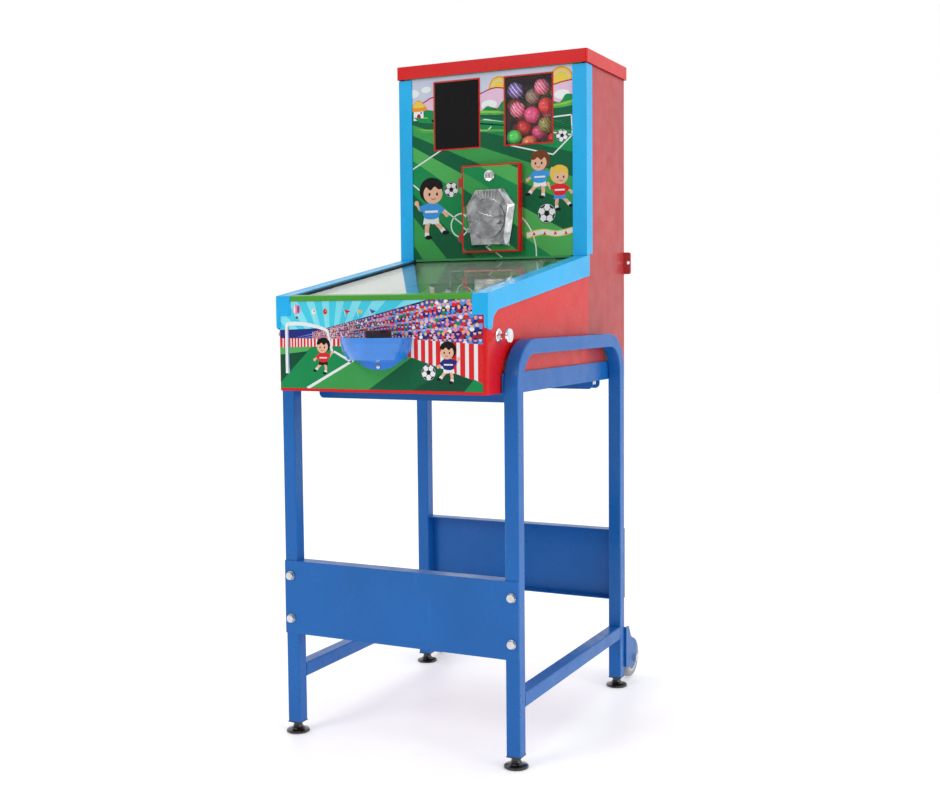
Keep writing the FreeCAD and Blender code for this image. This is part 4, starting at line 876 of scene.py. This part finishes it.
def button_spring(side):
    """Closed-ended compression spring on the button's rod."""
    low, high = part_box("button_spring_" + side)
    radius = (high.y - low.y) / 2 - 0.0006
    centre = (low + high) / 2
    sign = 1 if side == "right" else -1
    fixed = SPRING_FIXED * MM * sign
    free = SPRING_FREE * MM * sign
    line = []
    total = int(SPRING_TURNS * 24)
    for i in range(total + 1):
        t = i / total
        eased = min(max((t - 0.08) / 0.84, 0.0), 1.0)
        angle = 2 * math.pi * SPRING_TURNS * t
        x = fixed + (free - fixed) * (0.02 + 0.96 * eased)
        line.append(Vector((x, centre.y + radius * math.cos(angle), centre.z + radius * math.sin(angle))))
    wire = steel("spring_wire", 0.6)
    curve = line_piece("spring_line_" + side, [line], SPRING_WIRE, "machine", wire)
    data = bpy.data.meshes.new_from_object(curve.evaluated_get(bpy.context.evaluated_depsgraph_get()))
    bpy.data.objects.remove(curve)
    piece = bpy.data.objects.new("spring_" + side, data)
    bpy.context.scene.collection.objects.link(piece)
    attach(piece, "machine")
    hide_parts("button_spring_" + side)
    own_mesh(piece)


# --- bouncy balls ---
def swirl(name, base, stripe, scale, distortion):
    """Glossy rubber with poured streaks."""
    look = Look(name, base, 0.18)
    streaks = look.waves(scale, distortion, 1.6, look.stretched((1.0, 0.5, 0.8), (0.4, 0.7, 0.2)))
    look.paint(look.ramp(streaks, (0.34, base), (0.44, stripe), (0.66, stripe), (0.76, base)))
    look.dull(look.noise(80.0, 2.0), 0.12, 0.26)
    look.bump(look.noise(300.0, 2.0), 0.03, 0.1)
    look.set("Coat Weight", 0.7)
    return look.material


def speckled(name, base, fleck):
    """Translucent rubber with coloured flecks."""
    look = Look(name, base, 0.15)
    spots = look.cells(260.0)
    look.paint(look.ramp(spots, (0.12, fleck), (0.22, base)))
    look.dull(look.noise(60.0, 2.0), 0.1, 0.25)
    look.set("Subsurface Weight", 0.2)
    look.set("Subsurface Radius", (0.004, 0.003, 0.003))
    look.set("Coat Weight", 0.7)
    return look.material


def ball_centres(node):
    """Centres of the separate spheres in a CAD node, from its vertices on a 0.01 mm grid."""
    data = NODES[node].data
    keys = [tuple(round(c * 1e5) for c in v.co) for v in data.vertices]
    parent = {k: k for k in keys}

    def root(k):
        while parent[k] != k:
            parent[k] = parent[parent[k]]
            k = parent[k]
        return k

    for a, b in (e.vertices for e in data.edges):
        parent[root(keys[a])] = root(keys[b])
    groups = {}
    for k in parent:
        groups.setdefault(root(k), []).append(k)
    centres = []
    for group in groups.values():
        spans = [(min(k[i] for k in group), max(k[i] for k in group)) for i in range(3)]
        centres.append(Vector([(low + high) / 2e5 for low, high in spans]))
    return sorted(centres, key=lambda c: (round(c.y, 2), round(c.z, 2), c.x))


def bouncy_balls():
    looks = [swirl("ball_pink_stripe", (0.95, 0.10, 0.26), (1.0, 0.82, 0.88), 30.0, 2.5),
             swirl("ball_violet_stripe", (0.24, 0.14, 0.60), (0.95, 0.93, 1.0), 26.0, 1.0),
             speckled("ball_rose", (1.0, 0.07, 0.28), (1.0, 0.60, 0.68)),
             speckled("ball_red", (0.95, 0.02, 0.03), (1.0, 0.35, 0.12)),
             swirl("ball_smoke", (0.30, 0.19, 0.14), (0.62, 0.48, 0.36), 30.0, 6.0),
             swirl("ball_olive", (0.24, 0.20, 0.04), (0.72, 0.58, 0.10), 34.0, 5.0),
             speckled("ball_green", (0.06, 0.85, 0.10), (0.60, 1.0, 0.45)),
             speckled("ball_orange", (1.0, 0.20, 0.05), (1.0, 0.65, 0.30))]
    # x, z and look of each ball that shows behind the window
    seen = ((43.4, 1179.4, 1), (100.2, 1181.6, 0), (75.9, 1166.3, 4), (31.4, 1153.0, 7), (47.7, 1141.7, 0),
            (79.1, 1129.8, 2), (108.6, 1144.8, 3), (52.1, 1109.6, 3), (108.4, 1108.7, 5), (85.9, 1097.7, 2),
            (40.3, 1088.2, 6), (73.5, 1074.9, 7))
    radius = BALL_RADIUS * MM
    rng = random.Random(5)
    for index, centre in enumerate(ball_centres("bouncy_balls")):
        mesh = bmesh.new()
        bmesh.ops.create_uvsphere(mesh, u_segments=40, v_segments=26, radius=radius)
        for vert in mesh.verts:
            latitude = abs(vert.co.z) / radius
            seam = 0.12 * MM * math.exp(-(latitude / 0.05) ** 2)
            vert.co *= (radius * 0.994 + seam) / radius
        turn = Matrix.Rotation(rng.uniform(0, 6.28), 3, "X") @ Matrix.Rotation(rng.uniform(0, 6.28), 3, "Z")
        bmesh.ops.transform(mesh, matrix=turn.to_4x4(), verts=mesh.verts[:])
        bmesh.ops.translate(mesh, vec=centre, verts=mesh.verts[:])
        choice = rng.randrange(len(looks))
        for x, z, known in seen:
            if centre.y < 0.19 and math.hypot(centre.x - x * MM, centre.z - z * MM) < 0.002:
                choice = known
        ball = mesh_piece("bouncy_ball_%02d" % (index + 1), mesh, "machine", [looks[choice]])
        for face in ball.data.polygons:
            face.use_smooth = True
    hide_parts("bouncy_balls")


# --- the CAD nodes' materials ---
def finish_nodes():
    blue = powder_coat("frame_blue", (0.006, 0.125, 0.44))
    red = powder_coat("cabinet_red", (0.66, 0.005, 0.007), 0.28)
    # a darker, duller copy of the cabinet red: painted shade for the tower cabinet's shaded sides; the hinges
    # get this copy too
    shaded_red = powder_coat("tower_red_painted_shade", (0.46, 0.045, 0.05), 0.34)
    trim = powder_coat("trim_blue", (0.012, 0.42, 0.82), 0.3)
    looks = {
        "frame_blue": blue,
        "cabinet_red": red,
        "trim_blue": trim,
        "trim_green": powder_coat("trim_green", (0.06, 0.33, 0.03), 0.3),
        "zinc_steel": steel("zinc_steel", 0.7),
        "sheet_steel": galvanised("sheet_steel"),
        "chrome": chrome("chrome"),
        "black_plastic": moulded("black_plastic", (0.015, 0.015, 0.016), 0.45),
        "foot_black": moulded("foot_black", (0.008, 0.008, 0.009), 0.16, 0.03, 0.5),
        "hub_grey": moulded("hub_grey", (0.50, 0.54, 0.58), 0.4),
        "tyre_grey": rubber("tyre_grey", (0.30, 0.32, 0.35)),
        "gasket_rubber": rubber("gasket_rubber", (0.012, 0.012, 0.012), 0.55),
        "playfield_glass": thin_pane("playfield_glass", (0.93, 0.98, 0.96), 0.85),
        "window_acrylic": thin_pane("window_acrylic", (0.95, 0.97, 0.98), 0.8),
        "printed_board": varnished_board("printed_board"),
        "printed_panel": powder_coat("panel_paint", (0.05, 0.30, 0.10), 0.35),
        "goal_white": powder_coat("goal_white", (0.80, 0.81, 0.80), 0.3),
        "cup_blue": moulded("cup_blue", (0.02, 0.22, 0.74), 0.16, 0.02, 0.6),
        "flipper_yellow": moulded("flipper_yellow", (0.86, 0.58, 0.05), 0.25, 0.03, 0.4),
        "white_plastic": moulded("white_plastic", (0.74, 0.75, 0.74), 0.35),
        "ball_rubber": rubber("ball_rubber", (0.6, 0.1, 0.15), 0.3),
    }
    special = {
        # the tower cabinet takes the red copy with painted shade
        "tower_cabinet": shaded_red,
        # the left window's pane is opaque and nearly black: painted shade for the dark inside of the tower
        # behind it
        "window_pane_left": dark_pane("dark_pane_painted_shade", (0.006, 0.0055, 0.006)),
        "coin_mechanism": cast_chrome("mechanism_chrome"),
        "coin_knob": cast_chrome("knob_chrome"),
        # the hinges take the same red with painted shade, which hides them
        "hinges": shaded_red,
    }
    slots = {s["node"]: s["material_slot"] for s in frame["record"]["subparts"]}
    for name, node in NODES.items():
        material = special.get(name, looks[slots[name]])
        node.data.materials.clear()
        node.data.materials.append(material)


def soften(names, width_mm):
    """Rounds the cut and folded edges of metal and moulded pieces."""
    for name in names:
        node = NODES[name]
        weld = node.modifiers.new("weld", "WELD")
        weld.merge_threshold = 1e-6
        bevel = node.modifiers.new("edges", "BEVEL")
        bevel.width = width_mm * MM
        bevel.segments = 2
        bevel.limit_method = "ANGLE"
        bevel.angle_limit = math.radians(40)
        bevel.use_clamp_overlap = True


# --- studio ---
def studio():
    floor = bmesh.new()
    bmesh.ops.create_grid(floor, x_segments=8, y_segments=8, size=9.0)
    data = bpy.data.meshes.new("floor")
    floor.to_mesh(data)
    floor.free()
    look = Look("floor_white", (0.97, 0.97, 0.97), 0.4)
    look.paint(look.ramp(look.noise(3.0, 2.0), (0.3, (0.96, 0.96, 0.965)), (0.7, (0.985, 0.985, 0.985))))
    look.set("Specular IOR Level", 0.1)
    look.set("Emission Color", (1.0, 1.0, 1.0, 1.0))
    look.set("Emission Strength", 0.2)
    data.materials.append(look.material)
    ground = bpy.data.objects.new("floor", data)
    ground.location = (0, 0, -0.0005)
    bpy.context.scene.collection.objects.link(ground)

    world = bpy.data.worlds.new("studio")
    world.use_nodes = True
    tree = world.node_tree
    backdrop = tree.nodes["Background"]
    backdrop.inputs["Color"].default_value = (1.0, 1.0, 1.0, 1.0)
    place = tree.nodes.new("ShaderNodeTexCoord")
    split = tree.nodes.new("ShaderNodeSeparateXYZ")
    fade = tree.nodes.new("ShaderNodeMapRange")
    for socket, value in (("From Min", -0.75), ("From Max", -0.1), ("To Min", 0.42), ("To Max", 1.0)):
        fade.inputs[socket].default_value = value
    tree.links.new(place.outputs["Generated"], split.inputs[0])
    tree.links.new(split.outputs["Y"], fade.inputs["Value"])
    tree.links.new(fade.outputs["Result"], backdrop.inputs["Strength"])
    bpy.context.scene.world = world

    for name, place, size, power in LAMPS:
        lamp = bpy.data.lights.new(name, "AREA")
        lamp.size = size
        lamp.energy = power
        holder = bpy.data.objects.new(name, lamp)
        holder.location = place
        holder.rotation_euler = (Vector(LIT) - Vector(place)).to_track_quat("-Z", "Y").to_euler()
        bpy.context.scene.collection.objects.link(holder)


def camera():
    yaw, pitch, roll = (math.radians(a) for a in (YAW, PITCH, ROLL))
    forward = Vector((-math.sin(yaw) * math.cos(pitch), math.cos(yaw) * math.cos(pitch), math.sin(pitch)))
    level = Vector((math.cos(yaw), math.sin(yaw), 0))
    above = level.cross(forward)
    right = level * math.cos(roll) + above * math.sin(roll)
    up = -level * math.sin(roll) + above * math.cos(roll)
    data = bpy.data.cameras.new("camera")
    data.sensor_width = SENSOR
    data.lens = LENS
    data.clip_end = 50.0
    holder = bpy.data.objects.new("camera", data)
    turn = Matrix((right, up, -forward)).transposed()
    place = (Vector(EYE) - Vector((0, ORIGIN_Y, 0))) * MM
    holder.matrix_world = Matrix.Translation(place) @ turn.to_4x4()
    bpy.context.scene.collection.objects.link(holder)
    bpy.context.scene.camera = holder
    bpy.context.scene.view_settings.view_transform = "Standard"


camera()
studio()
finish_nodes()
soften(("top_lid", "lock_bar", "coin_door", "window_frames", "coin_mechanism", "coin_knob"), 0.6)
front_film()
tower_film()
door_film()
board_film()
goal_net()
bouncy_balls()
for end in ("left", "right"):
    flipper_band(end)
    button_spring(end)
